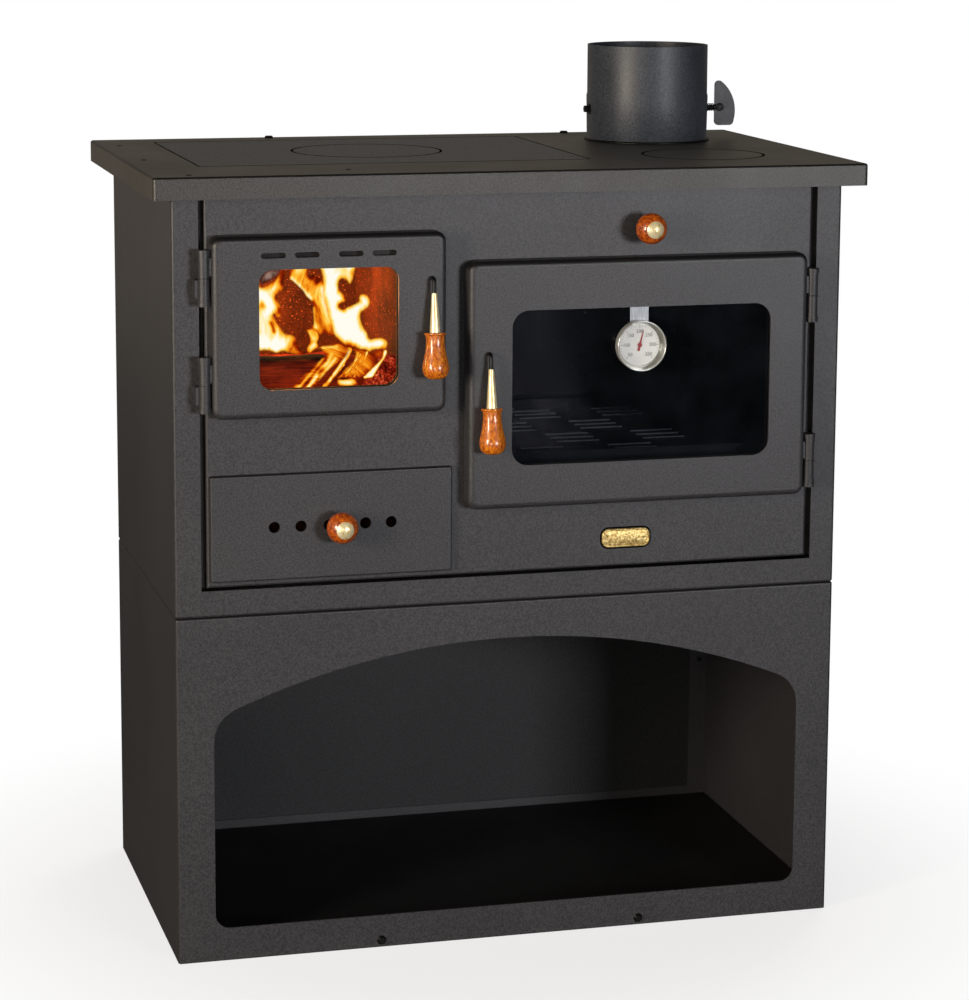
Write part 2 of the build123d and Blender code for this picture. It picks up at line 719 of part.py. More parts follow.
with BuildPart() as plinth_rear:
    block(-half_width + casing_sheet, half_width - casing_sheet, casing_back_y, rear_y,
          casing_sheet, plinth_height - casing_sheet)
    with BuildSketch(front_plane(casing_back_y)):
        with Locations(*plinth_rear_points):
            Circle(screw_hole)
    extrude(amount=-casing_sheet, mode=Mode.SUBTRACT)
write(plinth_rear, "plinth_rear")

# folded floor pan, with a hat-section stiffener that stands on the ground under it
floor_x = half_width - casing_sheet - floor_gap
floor_y0 = face_y + casing_sheet + floor_gap
floor_y1 = casing_back_y - casing_sheet - floor_gap
stiffener_x = half_width - stiffener_side
stiffener_y = stiffener_width / 2
with BuildPart() as plinth_floor:
    block(-floor_x, floor_x, floor_y0, floor_y1, casing_sheet, floor_height)
    fillet(plinth_floor.faces().sort_by(Axis.Z)[-1].edges(), casing_sheet)
    block(-floor_x + casing_sheet, floor_x - casing_sheet, floor_y0 + casing_sheet, floor_y1 - casing_sheet,
          casing_sheet, floor_height - casing_sheet, mode=Mode.SUBTRACT)
    block(-stiffener_x, stiffener_x, -stiffener_y, stiffener_y, 0, floor_height - casing_sheet)
    block(-stiffener_x, stiffener_x, -stiffener_y + casing_sheet, stiffener_y - casing_sheet,
          casing_sheet, floor_height - casing_sheet, mode=Mode.SUBTRACT)
    for flange_y, points in ((floor_y0, plinth_front_points),
                             (floor_y1 - casing_sheet, plinth_rear_points)):
        with BuildSketch(front_plane(flange_y)):
            with Locations(*points):
                Circle(screw_hole)
        extrude(amount=-casing_sheet, mode=Mode.SUBTRACT)
write(plinth_floor, "plinth_floor")


def pan_screws(points, y, turn):
    # pan-head screws at points of an upright sheet whose outer face is at y; turn points +Z outwards
    for x, z in points:
        with Locations(Location((x, y, z), (turn, 0, 0))):
            Cone(screw_head_radius, screw_head_radius * screw_dome, screw_head,
                 align=(Align.CENTER, Align.CENTER, Align.MIN))
            Cylinder(screw_radius, screw_length, align=(Align.CENTER, Align.CENTER, Align.MAX))


with BuildPart() as casing_screws:
    pan_screws(plinth_front_points, face_y, 90)
    pan_screws(plinth_rear_points, rear_y, -90)
    pan_screws(upper_rear_points, rear_y, -90)
    # domed plugs in the hob's back edge
    for x in (-plug_spacing / 2, plug_spacing / 2):
        with BuildSketch(Plane.XY.offset(stove_height)):
            with Locations((x, plug_y)):
                Circle(plug_radius)
        extrude(amount=plug_rise, taper=plug_taper)
        with BuildSketch(Plane.XY.offset(stove_height)):
            with Locations((x, plug_y)):
                Circle(plug_shank - screw_hole_gap)
        extrude(amount=-plug_depth)
write(casing_screws, "casing_screws")

# ---- front panel and inner body --------------------------------------------------------
with BuildPart() as front_panel:
    block(-panel_half, panel_half, face_y, face_y + panel_return, panel_bottom, panel_top)
    fillet(front_panel.faces().sort_by(Axis.Y)[0].edges(), fold_radius)
    block(-panel_half + panel_sheet, panel_half - panel_sheet, panel_back_y, face_y + panel_return,
          panel_bottom + panel_sheet, panel_top, mode=Mode.SUBTRACT)
    with BuildSketch(front_plane(face_y)):
        span(*fire_mouth, corner=door_corner)
        span(*oven_mouth, corner=door_corner)
        span(*drawer_mouth, corner=drawer_front_corner)
        with Locations((bypass_x, bypass_z)):
            Circle(bypass_rod_radius + running_gap)
    extrude(amount=-panel_sheet, mode=Mode.SUBTRACT)
write(front_panel, "front_panel")

with BuildPart() as body_shell:
    block(-shell_half, shell_half, panel_back_y, shell_back_y, shell_bottom, shell_top)
    block(-shell_inner, shell_inner, panel_back_y, shell_back_inner, shell_floor, shell_top,
          mode=Mode.SUBTRACT)
write(body_shell, "body_shell")

with BuildPart() as firebox_divider:
    block(divider_x - divider_sheet / 2, divider_x + divider_sheet / 2, panel_back_y, shell_back_inner,
          shell_floor, oven_roof)
write(firebox_divider, "firebox_divider")
divider_left = divider_x - divider_sheet / 2

brick_y0 = face_y + brick_front_gap
grate_x = (-shell_inner + divider_left) / 2
grate_y = (brick_y0 + shell_back_inner - brick_thick) / 2
grate_width = divider_left + shell_inner - 2 * (brick_thick + grate_side_inset)
grate_depth = shell_back_inner - brick_thick - brick_y0 - 2 * grate_end_inset
with BuildPart() as firebox_floor:
    block(-shell_inner, divider_left, panel_back_y, shell_back_inner, shelf_top - fire_shelf_sheet, shelf_top)
    with Locations((grate_x, grate_y, shelf_top)):
        Box(grate_width - 2 * grate_lap, grate_depth - 2 * grate_lap, 4 * fire_shelf_sheet,
            mode=Mode.SUBTRACT)
write(firebox_floor, "firebox_floor")

grate_slots = int((grate_depth - grate_pitch) // grate_pitch)
with BuildPart() as fire_grate:
    with Locations((grate_x, grate_y, shelf_top + grate_thick / 2)):
        Box(grate_width, grate_depth, grate_thick)
    fillet(fire_grate.edges().filter_by(Axis.Z), grate_corner)
    with BuildSketch(Plane.XY.offset(shelf_top)):
        with Locations((grate_x, grate_y)):
            with GridLocations(0, grate_pitch, 1, grate_slots):
                SlotOverall(grate_width - 4 * grate_lap, grate_slot)
    extrude(amount=grate_thick, mode=Mode.SUBTRACT)
write(fire_grate, "fire_grate")

# lining bricks: left, right and back of the fire
brick_top = shell_top - brick_drop
with BuildPart() as firebricks:
    block(-shell_inner, -shell_inner + brick_thick, brick_y0, shell_back_inner, shelf_top, brick_top)
    block(divider_left - brick_thick, divider_left, brick_y0, shell_back_inner, shelf_top, brick_top)
    block(-shell_inner + brick_thick + brick_joint, divider_left - brick_thick - brick_joint,
          shell_back_inner - brick_thick, shell_back_inner, shelf_top, brick_top)
write(firebricks, "firebricks")

with BuildPart() as oven_box:
    block(oven_mouth[0] - oven_sheet, oven_mouth[1] + oven_sheet, panel_back_y, oven_back_y,
          oven_mouth[2] - oven_sheet, oven_roof)
    block(oven_mouth[0], oven_mouth[1], panel_back_y, oven_back_y - oven_sheet,
          oven_mouth[2], oven_mouth[3], mode=Mode.SUBTRACT)
    # pressed beads that carry the tray
    bead_z = oven_mouth[2] + oven_tray_rise - oven_tray_sheet - oven_bead / 2
    for wall_x in oven_mouth[:2]:
        with BuildSketch(front_plane(panel_back_y + oven_bead_inset)):
            with Locations((wall_x, bead_z)):
                Circle(oven_bead / 2)
        extrude(amount=-(oven_back_y - panel_back_y - 3 * oven_bead_inset))
write(oven_box, "oven_box")

tray_z = oven_mouth[2] + oven_tray_rise
tray_x0 = oven_mouth[0] + oven_tray_gap
tray_x1 = oven_mouth[1] - oven_tray_gap
tray_y0 = face_y + oven_tray_front_gap
tray_y1 = oven_back_y - oven_sheet - oven_tray_back_gap
with BuildPart() as oven_tray:
    block(tray_x0, tray_x1, tray_y0, tray_y1, tray_z - oven_tray_sheet, tray_z + oven_tray_rim)
    block(tray_x0 + oven_tray_sheet, tray_x1 - oven_tray_sheet, tray_y0 + oven_tray_sheet,
          tray_y1 - oven_tray_sheet, tray_z, tray_z + oven_tray_rim, mode=Mode.SUBTRACT)
    # staggered groups of three slots
    columns = int((tray_x1 - tray_x0 - tray_slot_length) // tray_column_pitch)
    with BuildSketch(Plane.XY.offset(tray_z - oven_tray_sheet)):
        for group, stagger in ((-1.5, 0), (-0.5, 0.5), (0.5, 0), (1.5, 0.5)):
            group_x = (tray_x0 + tray_x1) / 2 + stagger * tray_column_pitch - tray_column_pitch / 4
            group_y = (tray_y0 + tray_y1) / 2 + group * tray_group_pitch
            with Locations((group_x, group_y)):
                with GridLocations(tray_column_pitch, tray_row_pitch, columns, 3):
                    SlotOverall(tray_slot_length, tray_slot_width)
    extrude(amount=oven_tray_sheet, mode=Mode.SUBTRACT)
write(oven_tray, "oven_tray")

# chamber under the flue, closed to the hob space but for the bypass hole in its front wall
bypass_hole = (chamber_left + divider_sheet + bypass_hole_lap,
               chamber_left + divider_sheet + bypass_hole_lap + bypass_plate_width - 2 * bypass_hole_lap,
               bypass_z - bypass_plate_height / 2 + bypass_hole_lap,
               bypass_z + bypass_plate_height / 2 - bypass_hole_lap)
with BuildPart() as flue_partition:
    block(chamber_left, shell_inner, chamber_front_y, chamber_front_y + divider_sheet, oven_roof, shell_top)
    block(chamber_left, chamber_left + divider_sheet, chamber_front_y, shell_back_inner, oven_roof, shell_top)
    with BuildSketch(front_plane(chamber_front_y)):
        span(*bypass_hole)
    extrude(amount=-divider_sheet, mode=Mode.SUBTRACT)
write(flue_partition, "flue_partition")

# two angle rails that guide the ash tray
tray_left = drawer_mouth[0] + ash_tray_clearance
tray_right = drawer_mouth[1] - ash_tray_clearance
tray_back_y = shell_back_inner - ash_tray_back_gap
rail_y1 = tray_back_y + runner_past_tray
with BuildPart() as ash_runners:
    for side, edge_x in ((-1, tray_left), (1, tray_right)):
        lip_x = edge_x + side * runner_gap
        outer_x = lip_x + side * runner_sheet
        inner_x = edge_x - side * (runner_width - runner_sheet)
        rail_top = drawer_mouth[2] + ash_tray_clearance - seat_gap
        block(min(outer_x, inner_x), max(outer_x, inner_x), panel_back_y, rail_y1, shell_floor, rail_top)
        block(min(lip_x, outer_x), max(lip_x, outer_x), panel_back_y, rail_y1,
              shell_floor, rail_top + seat_gap + runner_rise)
write(ash_runners, "ash_runners")

# blank raised-edge plaque
badge_x = (oven_left + oven_right) / 2 + badge_offset
badge_z = oven_bottom - badge_drop
with BuildPart() as badge_plate:
    with BuildSketch(front_plane(face_y)):
        with Locations((badge_x, badge_z)):
            RectangleRounded(badge_width, badge_height, badge_corner)
    extrude(amount=badge_thick)
    fillet(badge_plate.faces().sort_by(Axis.Y)[0].edges(), badge_edge)
    with BuildSketch(front_plane(face_y - badge_thick)):
        with Locations((badge_x, badge_z)):
            RectangleRounded(badge_width - 2 * badge_rim, badge_height - 2 * badge_rim,
                             badge_corner - badge_rim)
    extrude(amount=-badge_recess, mode=Mode.SUBTRACT)
write(badge_plate, "badge_plate")


# ---- hinges --------------------------------------------------------------------------
def upright_cylinder(x, z0, z1, radius, mode=Mode.ADD):
    with Locations((x, hinge_y, (z0 + z1) / 2)):
        Cylinder(radius, z1 - z0, mode=mode)


hinges = [(fire_hinge_x, z, 1) for z in fire_hinges_z] + [(oven_hinge_x, z, -1) for z in oven_hinges_z]


def hinge_half(x, low, high, upper):
    # turned barrel with a broad and a fine ring at its outer end
    upright_cylinder(x, low, high, hinge_radius)
    fine_start = hinge_ring_height + hinge_ring_gap
    fine_radius = (hinge_ring + hinge_radius) / 2
    for start, height, radius in ((0, hinge_ring_height, hinge_ring),
                                  (fine_start, hinge_fine_ring, fine_radius)):
        ring_low = high - start - height if upper else low + start
        upright_cylinder(x, ring_low, ring_low + height, radius)


# lower halves, welded to the border of the casing
with BuildPart() as hinge_seats:
    for x, low, side in hinges:
        middle = low + hinge_length / 2 - hinge_split / 2
        hinge_half(x, low, middle, upper=False)
        pad_z = (low + middle) / 2 + hinge_pad_shift
        pad_x = x - side * (hinge_radius + hinge_pad_reach)
        block(min(pad_x, x), max(pad_x, x), hinge_y, face_y, pad_z - hinge_pad / 2, pad_z + hinge_pad / 2)
        upright_cylinder(x, low + hinge_pin_bottom, middle, hinge_pin_radius, mode=Mode.SUBTRACT)
write(hinge_seats, "hinge_seats")

with BuildPart() as hinge_pins:
    for x, low, side in hinges:
        pin_top = low + hinge_length / 2 + hinge_pin_reach
        upright_cylinder(x, low + hinge_pin_bottom, pin_top, hinge_pin_radius)
write(hinge_pins, "hinge_pins")


def door_knuckles(x, lows, flank_x):
    # upper halves, welded to the flank of a door
    for low in lows:
        middle = low + hinge_length / 2 + hinge_split / 2
        high = low + hinge_length
        hinge_half(x, middle, high, upper=True)
        pad_z = (middle + high) / 2 - hinge_pad_shift
        block(min(x, flank_x), max(x, flank_x), hinge_y - hinge_pad_depth / 2, hinge_y + hinge_pad_depth / 2,
              pad_z - hinge_pad / 2, pad_z + hinge_pad / 2)
        upright_cylinder(x, middle, low + hinge_length / 2 + hinge_pin_reach + hinge_pin_end_gap,
                         hinge_pin_radius + running_gap, mode=Mode.SUBTRACT)


with BuildPart() as fire_hinge_knuckles:
    door_knuckles(fire_hinge_x, fire_hinges_z, fire_left)
write(fire_hinge_knuckles, "fire_hinge_knuckles")

with BuildPart() as oven_hinge_knuckles:
    door_knuckles(oven_hinge_x, oven_hinges_z, oven_right)
write(oven_hinge_knuckles, "oven_hinge_knuckles")

# ---- doors ---------------------------------------------------------------------------
glass_y0 = door_face_y + door_sheet + glass_front_gap
glass_y1 = glass_y0 + glass_thick
liner_y0 = glass_y1 + collar_height
liner_y1 = liner_y0 + liner_sheet
latch_hole = latch_rod_radius + running_gap
gasket_y1 = face_y - door_seal_gap / 2


def pressed_shell(part, left, right, bottom, top):
    # pressed sheet tray, open at the back
    with Locations(((left + right) / 2, (door_face_y + door_back_y) / 2, (bottom + top) / 2)):
        Box(right - left, door_back_y - door_face_y, top - bottom)
    fillet(part.edges().filter_by(Axis.Y), door_corner)
    fillet(part.faces().sort_by(Axis.Y)[0].edges(), door_edge_radius)
    offset(amount=-door_sheet, openings=part.faces().sort_by(Axis.Y)[-1])


with BuildPart() as fire_door_shell:
    pressed_shell(fire_door_shell, fire_left, fire_right, fire_bottom, fire_top)
    with BuildSketch(front_plane(door_face_y)):
        span(*fire_window, corner=fire_window_corner)
        slot_x = (fire_window[0] + fire_window[1]) / 2
        slot_near = air_slot_middle / 2
        slot_far = slot_near + air_slot_pitch
        with Locations(*[(slot_x + dx, fire_top - air_slot_drop)
                         for dx in (-slot_far, -slot_near, slot_near, slot_far)]):
            SlotOverall(air_slot_length, air_slot_height)
        with Locations((fire_latch_x, fire_latch_z)):
            Circle(latch_hole)
    extrude(amount=-door_sheet, mode=Mode.SUBTRACT)
write(fire_door_shell, "fire_door_shell")

with BuildPart() as oven_door_shell:
    pressed_shell(oven_door_shell, oven_left, oven_right, oven_bottom, oven_top)
    with BuildSketch(front_plane(door_face_y)):
        span(*oven_window, corner=oven_window_corner)
        with Locations((oven_latch_x, oven_latch_z)):
            Circle(latch_hole)
    extrude(amount=-door_sheet, mode=Mode.SUBTRACT)
write(oven_door_shell, "oven_door_shell")


def liner_plate(left, right, bottom, top, window, latch_x, latch_z):
    # inner plate inside the shell, with a collar that clamps the glass, as two profiles
    with BuildSketch(front_plane(liner_y0)) as plate:
        span(left + door_sheet, right - door_sheet, bottom + door_sheet, top - door_sheet,
             corner=door_corner - door_sheet)
        span(*window, corner=fire_window_corner, mode=Mode.SUBTRACT)
        with Locations((latch_x, latch_z)):
            Circle(latch_hole, mode=Mode.SUBTRACT)
    extrude(plate.sketch, amount=-liner_sheet)
    with BuildSketch(front_plane(glass_y1)) as collar:
        span(window[0] - liner_sheet, window[1] + liner_sheet,
             window[2] - liner_sheet, window[3] + liner_sheet, corner=fire_window_corner)
        span(*window, corner=fire_window_corner, mode=Mode.SUBTRACT)
    extrude(collar.sketch, amount=-(liner_y0 - glass_y1))


with BuildPart() as fire_door_liner:
    liner_plate(fire_left, fire_right, fire_bottom, fire_top, fire_window, fire_latch_x, fire_latch_z)
write(fire_door_liner, "fire_door_liner")

with BuildPart() as oven_door_liner:
    liner_plate(oven_left, oven_right, oven_bottom, oven_top, oven_window, oven_latch_x, oven_latch_z)
write(oven_door_liner, "oven_door_liner")

with BuildPart() as fire_glass:
    block(fire_window[0] - glass_lap, fire_window[1] + glass_lap, glass_y0, glass_y1,
          fire_window[2] - glass_lap, fire_window[3] + glass_lap)
    fillet(fire_glass.edges().filter_by(Axis.Y), glass_corner)
write(fire_glass, "fire_glass")

with BuildPart() as oven_glass:
    block(oven_window[0] - glass_lap, oven_window[1] + glass_lap, glass_y0, glass_y1,
          oven_window[2] - glass_lap, oven_window[3] + glass_lap)
    fillet(oven_glass.edges().filter_by(Axis.Y), glass_corner)
write(oven_glass, "oven_glass")


def rope_gasket(part, left, right, bottom, top):
    # woven rope seal lying on the liner just inside the flanks
    outer = door_sheet + gasket_side_gap
    inner = outer + gasket_width
    with BuildSketch(front_plane(liner_y1)) as ring:
        span(left + outer, right - outer, bottom + outer, top - outer, corner=door_corner - outer)
        span(left + inner, right - inner, bottom + inner, top - inner, corner=door_corner - inner,
             mode=Mode.SUBTRACT)
    extrude(ring.sketch, amount=-(gasket_y1 - liner_y1))
    fillet(part.faces().sort_by(Axis.Y)[-1].edges(), gasket_round)


with BuildPart() as fire_gasket:
    rope_gasket(fire_gasket, fire_left, fire_right, fire_bottom, fire_top)
write(fire_gasket, "fire_gasket")

with BuildPart() as oven_gasket:
    rope_gasket(oven_gasket, oven_left, oven_right, oven_bottom, oven_top)
write(oven_gasket, "oven_gasket")

# ---- latches -------------------------------------------------------------------------
rod_y0 = door_face_y - latch_proud
tail_y = face_y + latch_tail_depth
lean = radians(latch_lean)


def handle_point(x, z, length, forward=0.0):
    # point down the leaning handle, measured from where the rod turns down
    return Vector(x, rod_y0 - length * sin(lean) - forward * cos(lean), z - length * cos(lean))


def latch_rod(x, z):
    with BuildLine() as route:
        FilletPolyline((x, tail_y, z - latch_tail), (x, tail_y, z), (x, rod_y0, z),
                       handle_point(x, z, latch_drop + ferrule_length / 2), radius=latch_bend)
    with BuildSketch(Plane(origin=(x, tail_y, z - latch_tail), z_dir=(0, 0, 1))) as section:
        Circle(latch_rod_radius)
    sweep(section.sketch, path=route.wire())


def handle_plane(x, z, length):
    # section plane square to the leaning handle, normal pointing down it
    return Plane(origin=handle_point(x, z, length), x_dir=(1, 0, 0), z_dir=(0, -sin(lean), -cos(lean)))


def latch_ferrule(x, z):
    # brass cone with a bore for the rod's end
    base = handle_plane(x, z, latch_drop)
    with Locations(base.location):
        Cone(ferrule_top_radius, ferrule_bottom_radius, ferrule_length,
             align=(Align.CENTER, Align.CENTER, Align.MIN))
        Cylinder(latch_rod_radius, ferrule_length / 2, align=(Align.CENTER, Align.CENTER, Align.MIN),
                 mode=Mode.SUBTRACT)


def latch_grip(x, z):
    # turned wooden grip: rim, neck, belly and a rounded end; sketch y is 0 at its top
    start = handle_point(x, z, latch_drop + ferrule_length)
    half_plane = Plane(origin=start, x_dir=(1, 0, 0), z_dir=(0, -cos(lean), sin(lean)))
    rim_y = -grip_rim_height
    rim_edge = grip_rim_radius - grip_rim_height / 2
    end_radius = grip_belly_radius * 0.45
    with BuildSketch(half_plane) as profile:
        with BuildLine():
            Line((0, 0), (rim_edge, 0))
            ThreePointArc((rim_edge, 0), (grip_rim_radius, rim_y / 2), (rim_edge, rim_y))
            Spline((rim_edge, rim_y), (grip_neck_radius, -0.24 * grip_length),
                   (grip_belly_radius * 0.91, -0.6 * grip_length), (grip_belly_radius, -0.76 * grip_length),
                   (grip_belly_radius * 0.78, -0.95 * grip_length), (end_radius, -grip_length))
            Line((end_radius, -grip_length), (0, -grip_length))
            Line((0, -grip_length), (0, 0))
        make_face()
    axis_direction = (0, -sin(lean), -cos(lean))
    revolve(profile.sketch, axis=Axis(start, axis_direction))


with BuildPart() as fire_latch_rod:
    latch_rod(fire_latch_x, fire_latch_z)
write(fire_latch_rod, "fire_latch_rod")

with BuildPart() as fire_latch_ferrule:
    latch_ferrule(fire_latch_x, fire_latch_z)
write(fire_latch_ferrule, "fire_latch_ferrule")

with BuildPart() as fire_latch_grip:
    latch_grip(fire_latch_x, fire_latch_z)
write(fire_latch_grip, "fire_latch_grip")

with BuildPart() as oven_latch_rod:
    latch_rod(oven_latch_x, oven_latch_z)
write(oven_latch_rod, "oven_latch_rod")

with BuildPart() as oven_latch_ferrule:
    latch_ferrule(oven_latch_x, oven_latch_z)
write(oven_latch_ferrule, "oven_latch_ferrule")

with BuildPart() as oven_latch_grip:
    latch_grip(oven_latch_x, oven_latch_z)
write(oven_latch_grip, "oven_latch_grip")

# ---- thermometer on the oven door ----------------------------------------------------
strip_y0 = door_face_y + door_sheet + dial_strip_gap
strip_y1 = strip_y0 + dial_strip_sheet
cup_back_y = strip_y0
cup_front_y = cup_back_y - dial_depth
dial_face_y = cup_front_y + dial_face_depth
with BuildPart() as thermometer_bracket:
    block(dial_x - dial_strip_width / 2, dial_x + dial_strip_width / 2, strip_y0, strip_y1,
          dial_z - dial_radius / 2, oven_window[3] + dial_strip_tuck)
write(thermometer_bracket, "thermometer_bracket")

with BuildPart() as thermometer_cup:
    with BuildSketch(front_plane(cup_back_y)):
        with Locations((dial_x, dial_z)):
            Circle(dial_radius)
    extrude(amount=dial_depth)
    fillet(thermometer_cup.faces().sort_by(Axis.Y)[-1].edges(), dial_edge_radius)
    with BuildSketch(front_plane(cup_front_y)):
        with Locations((dial_x, dial_z)):
            Circle(dial_radius - dial_wall)
    extrude(amount=-(dial_face_depth + dial_sheet), mode=Mode.SUBTRACT)
write(thermometer_cup, "thermometer_cup")

pointer_turn = radians(pointer_lean)
pointer_y1 = dial_face_y - pointer_lift


def pointer_at(across, along):
    return (dial_x + across * cos(pointer_turn) + along * sin(pointer_turn),
            dial_z + along * cos(pointer_turn) - across * sin(pointer_turn))


with BuildPart() as thermometer_dial:
    with BuildSketch(front_plane(dial_face_y)):
        with Locations((dial_x, dial_z)):
            Circle(dial_face_radius)
            Circle(pointer_pin + running_gap, mode=Mode.SUBTRACT)
    extrude(amount=-dial_sheet)
write(thermometer_dial, "thermometer_dial")

with BuildPart() as thermometer_lens:
    with BuildSketch(front_plane(cup_front_y + lens_inset)):
        with Locations((dial_x, dial_z)):
            Circle(dial_radius - dial_wall)
    extrude(amount=-lens_thick)
write(thermometer_lens, "thermometer_lens")

with BuildPart() as thermometer_pointer:
    with BuildSketch(front_plane(pointer_y1)):
        with Locations((dial_x, dial_z)):
            Circle(pointer_boss)
        with BuildLine():
            Polyline(pointer_at(-pointer_width / 2, -pointer_tail),
                     pointer_at(pointer_width / 2, -pointer_tail),
                     pointer_at(pointer_tip / 2, pointer_length),
                     pointer_at(-pointer_tip / 2, pointer_length), close=True)
        make_face()
    extrude(amount=pointer_sheet)
    with BuildSketch(front_plane(pointer_y1)):
        with Locations((dial_x, dial_z)):
            Circle(pointer_pin)
    extrude(amount=-pointer_pin_length)
write(thermometer_pointer, "thermometer_pointer")


# ---- knobs ---------------------------------------------------------------------------
def knob_ball(x, y, z):
    # turned ball with a flat for the brass cap; y is the back of the ball
    with BuildSketch(Plane(origin=(x, y, z), x_dir=(1, 0, 0), z_dir=(0, 0, 1))) as profile:
        with BuildLine():
            Line((0, 0), (knob_back_radius, 0))
            ThreePointArc((knob_back_radius, 0), (knob_radius, -knob_belly),
                          (cap_radius, -knob_depth))
            Line((cap_radius, -knob_depth), (0, -knob_depth))
            Line((0, -knob_depth), (0, 0))
        make_face()
    revolve(profile.sketch, axis=Axis((x, y, z), (0, -1, 0)))


cap_sphere = (cap_radius ** 2 + (cap_dome - cap_rim) ** 2) / (cap_dome - cap_rim) / 2


def knob_cap(x, y, z):
    # domed brass cap; y is its flat back
    with BuildSketch(Plane(origin=(x, y, z), x_dir=(1, 0, 0), z_dir=(0, 0, 1))) as profile:
        with BuildLine():
            Line((0, 0), (cap_radius, 0))
            Line((cap_radius, 0), (cap_radius, -cap_rim))
            RadiusArc((cap_radius, -cap_rim), (0, -cap_dome), cap_sphere)
            Line((0, -cap_dome), (0, 0))
        make_face()
    revolve(profile.sketch, axis=Axis((x, y, z), (0, -1, 0)))


# ---- ash drawer ----------------------------------------------------------------------
drawer_face_back_y = drawer_face_y + casing_sheet
hole_points = [(drawer_x + dx, drawer_z) for dx in primary_hole_offsets]
tray_bottom = drawer_mouth[2] + ash_tray_clearance
tray_top = drawer_mouth[3] - ash_tray_clearance
with BuildPart() as drawer_front:
    block(drawer_left, drawer_right, drawer_face_y, face_y - drawer_front_gap, drawer_bottom, drawer_top)
    fillet(drawer_front.edges().filter_by(Axis.Y), drawer_front_corner)
    fillet(drawer_front.faces().sort_by(Axis.Y)[0].edges(), casing_sheet)
    block(drawer_left + casing_sheet, drawer_right - casing_sheet, drawer_face_back_y, face_y,
          drawer_bottom + casing_sheet, drawer_top - casing_sheet, mode=Mode.SUBTRACT)
    with BuildSketch(front_plane(drawer_face_y)):
        with Locations(*hole_points):
            Circle(primary_hole_radius)
    extrude(amount=-casing_sheet, mode=Mode.SUBTRACT)
write(drawer_front, "drawer_front")

with BuildPart() as ash_tray:
    block(tray_left, tray_right, drawer_face_back_y, tray_back_y, tray_bottom, tray_top)
    block(tray_left + ash_tray_sheet, tray_right - ash_tray_sheet, drawer_face_back_y + ash_tray_sheet,
          tray_back_y - ash_tray_sheet, tray_bottom + ash_tray_sheet, tray_top, mode=Mode.SUBTRACT)
    with BuildSketch(front_plane(drawer_face_back_y)):
        with Locations(*hole_points):
            Circle(primary_hole_radius)
    extrude(amount=-ash_tray_sheet, mode=Mode.SUBTRACT)
write(ash_tray, "ash_tray")

with BuildPart() as drawer_knob_stem:
    with BuildSketch(front_plane(drawer_face_y)):
        with Locations((drawer_knob_x, drawer_z)):
            Circle(knob_stem_radius)
    extrude(amount=knob_stem)
write(drawer_knob_stem, "drawer_knob_stem")

with BuildPart() as drawer_knob:
    knob_ball(drawer_knob_x, drawer_face_y - knob_stem, drawer_z)
write(drawer_knob, "drawer_knob")

with BuildPart() as drawer_knob_cap:
    knob_cap(drawer_knob_x, drawer_face_y - knob_stem - knob_depth, drawer_z)
write(drawer_knob_cap, "drawer_knob_cap")

# ---- bypass damper -------------------------------------------------------------------
bypass_ball_y = face_y - bypass_stem
plate_y1 = chamber_front_y - bypass_plate_gap
with BuildPart() as bypass_rod:
    with BuildSketch(front_plane(bypass_ball_y)):
        with Locations((bypass_x, bypass_z)):
            Circle(bypass_rod_radius)
    extrude(amount=-(plate_y1 - bypass_plate_thick - bypass_ball_y))
write(bypass_rod, "bypass_rod")

with BuildPart() as bypass_plate:
    block(bypass_hole[0] - bypass_hole_lap, bypass_hole[1] + bypass_hole_lap,
          plate_y1 - bypass_plate_thick, plate_y1,
          bypass_hole[2] - bypass_hole_lap, bypass_hole[3] + bypass_hole_lap)
write(bypass_plate, "bypass_plate")

with BuildPart() as bypass_knob:
    knob_ball(bypass_x, bypass_ball_y, bypass_z)
write(bypass_knob, "bypass_knob")

with BuildPart() as bypass_knob_cap:
    knob_cap(bypass_x, bypass_ball_y - knob_depth, bypass_z)
write(bypass_knob_cap, "bypass_knob_cap")
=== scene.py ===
import math
import random

import bmesh
import bpy
from mathutils import Matrix, Vector, noise


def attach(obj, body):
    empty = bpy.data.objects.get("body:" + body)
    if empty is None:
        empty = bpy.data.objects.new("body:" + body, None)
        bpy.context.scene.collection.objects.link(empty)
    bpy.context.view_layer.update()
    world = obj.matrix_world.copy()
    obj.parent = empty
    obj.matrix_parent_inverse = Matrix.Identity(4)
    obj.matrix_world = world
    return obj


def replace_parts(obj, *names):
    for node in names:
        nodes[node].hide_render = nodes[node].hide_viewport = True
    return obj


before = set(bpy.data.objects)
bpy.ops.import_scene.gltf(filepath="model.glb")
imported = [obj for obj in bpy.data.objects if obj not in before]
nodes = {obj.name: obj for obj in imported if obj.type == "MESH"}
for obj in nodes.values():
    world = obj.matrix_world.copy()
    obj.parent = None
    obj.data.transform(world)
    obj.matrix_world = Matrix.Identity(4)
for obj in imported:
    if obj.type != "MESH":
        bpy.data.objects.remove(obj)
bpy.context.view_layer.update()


# ---- small tools

def toLinear(hexColour):
    # sRGB hex to the linear values that sockets take
    channels = [int(hexColour[i:i + 2], 16) / 255 for i in (0, 2, 4)]
    return tuple(c / 12.92 if c <= 0.04045 else ((c + 0.055) / 1.055) ** 2.4 for c in channels) + (1.0,)


def perMetre(millimetres):
    # texture scale that gives a pattern of this size on Object coordinates
    return 1000.0 / millimetres


def addNode(tree, kind, settings=None, values=None, links=None):
    node = tree.nodes.new(kind)
    for name, value in (settings or {}).items():
        setattr(node, name, value)
    for socket, value in (values or {}).items():
        node.inputs[socket].default_value = value
    for socket, source in (links or {}).items():
        tree.links.new(source, node.inputs[socket])
    return node


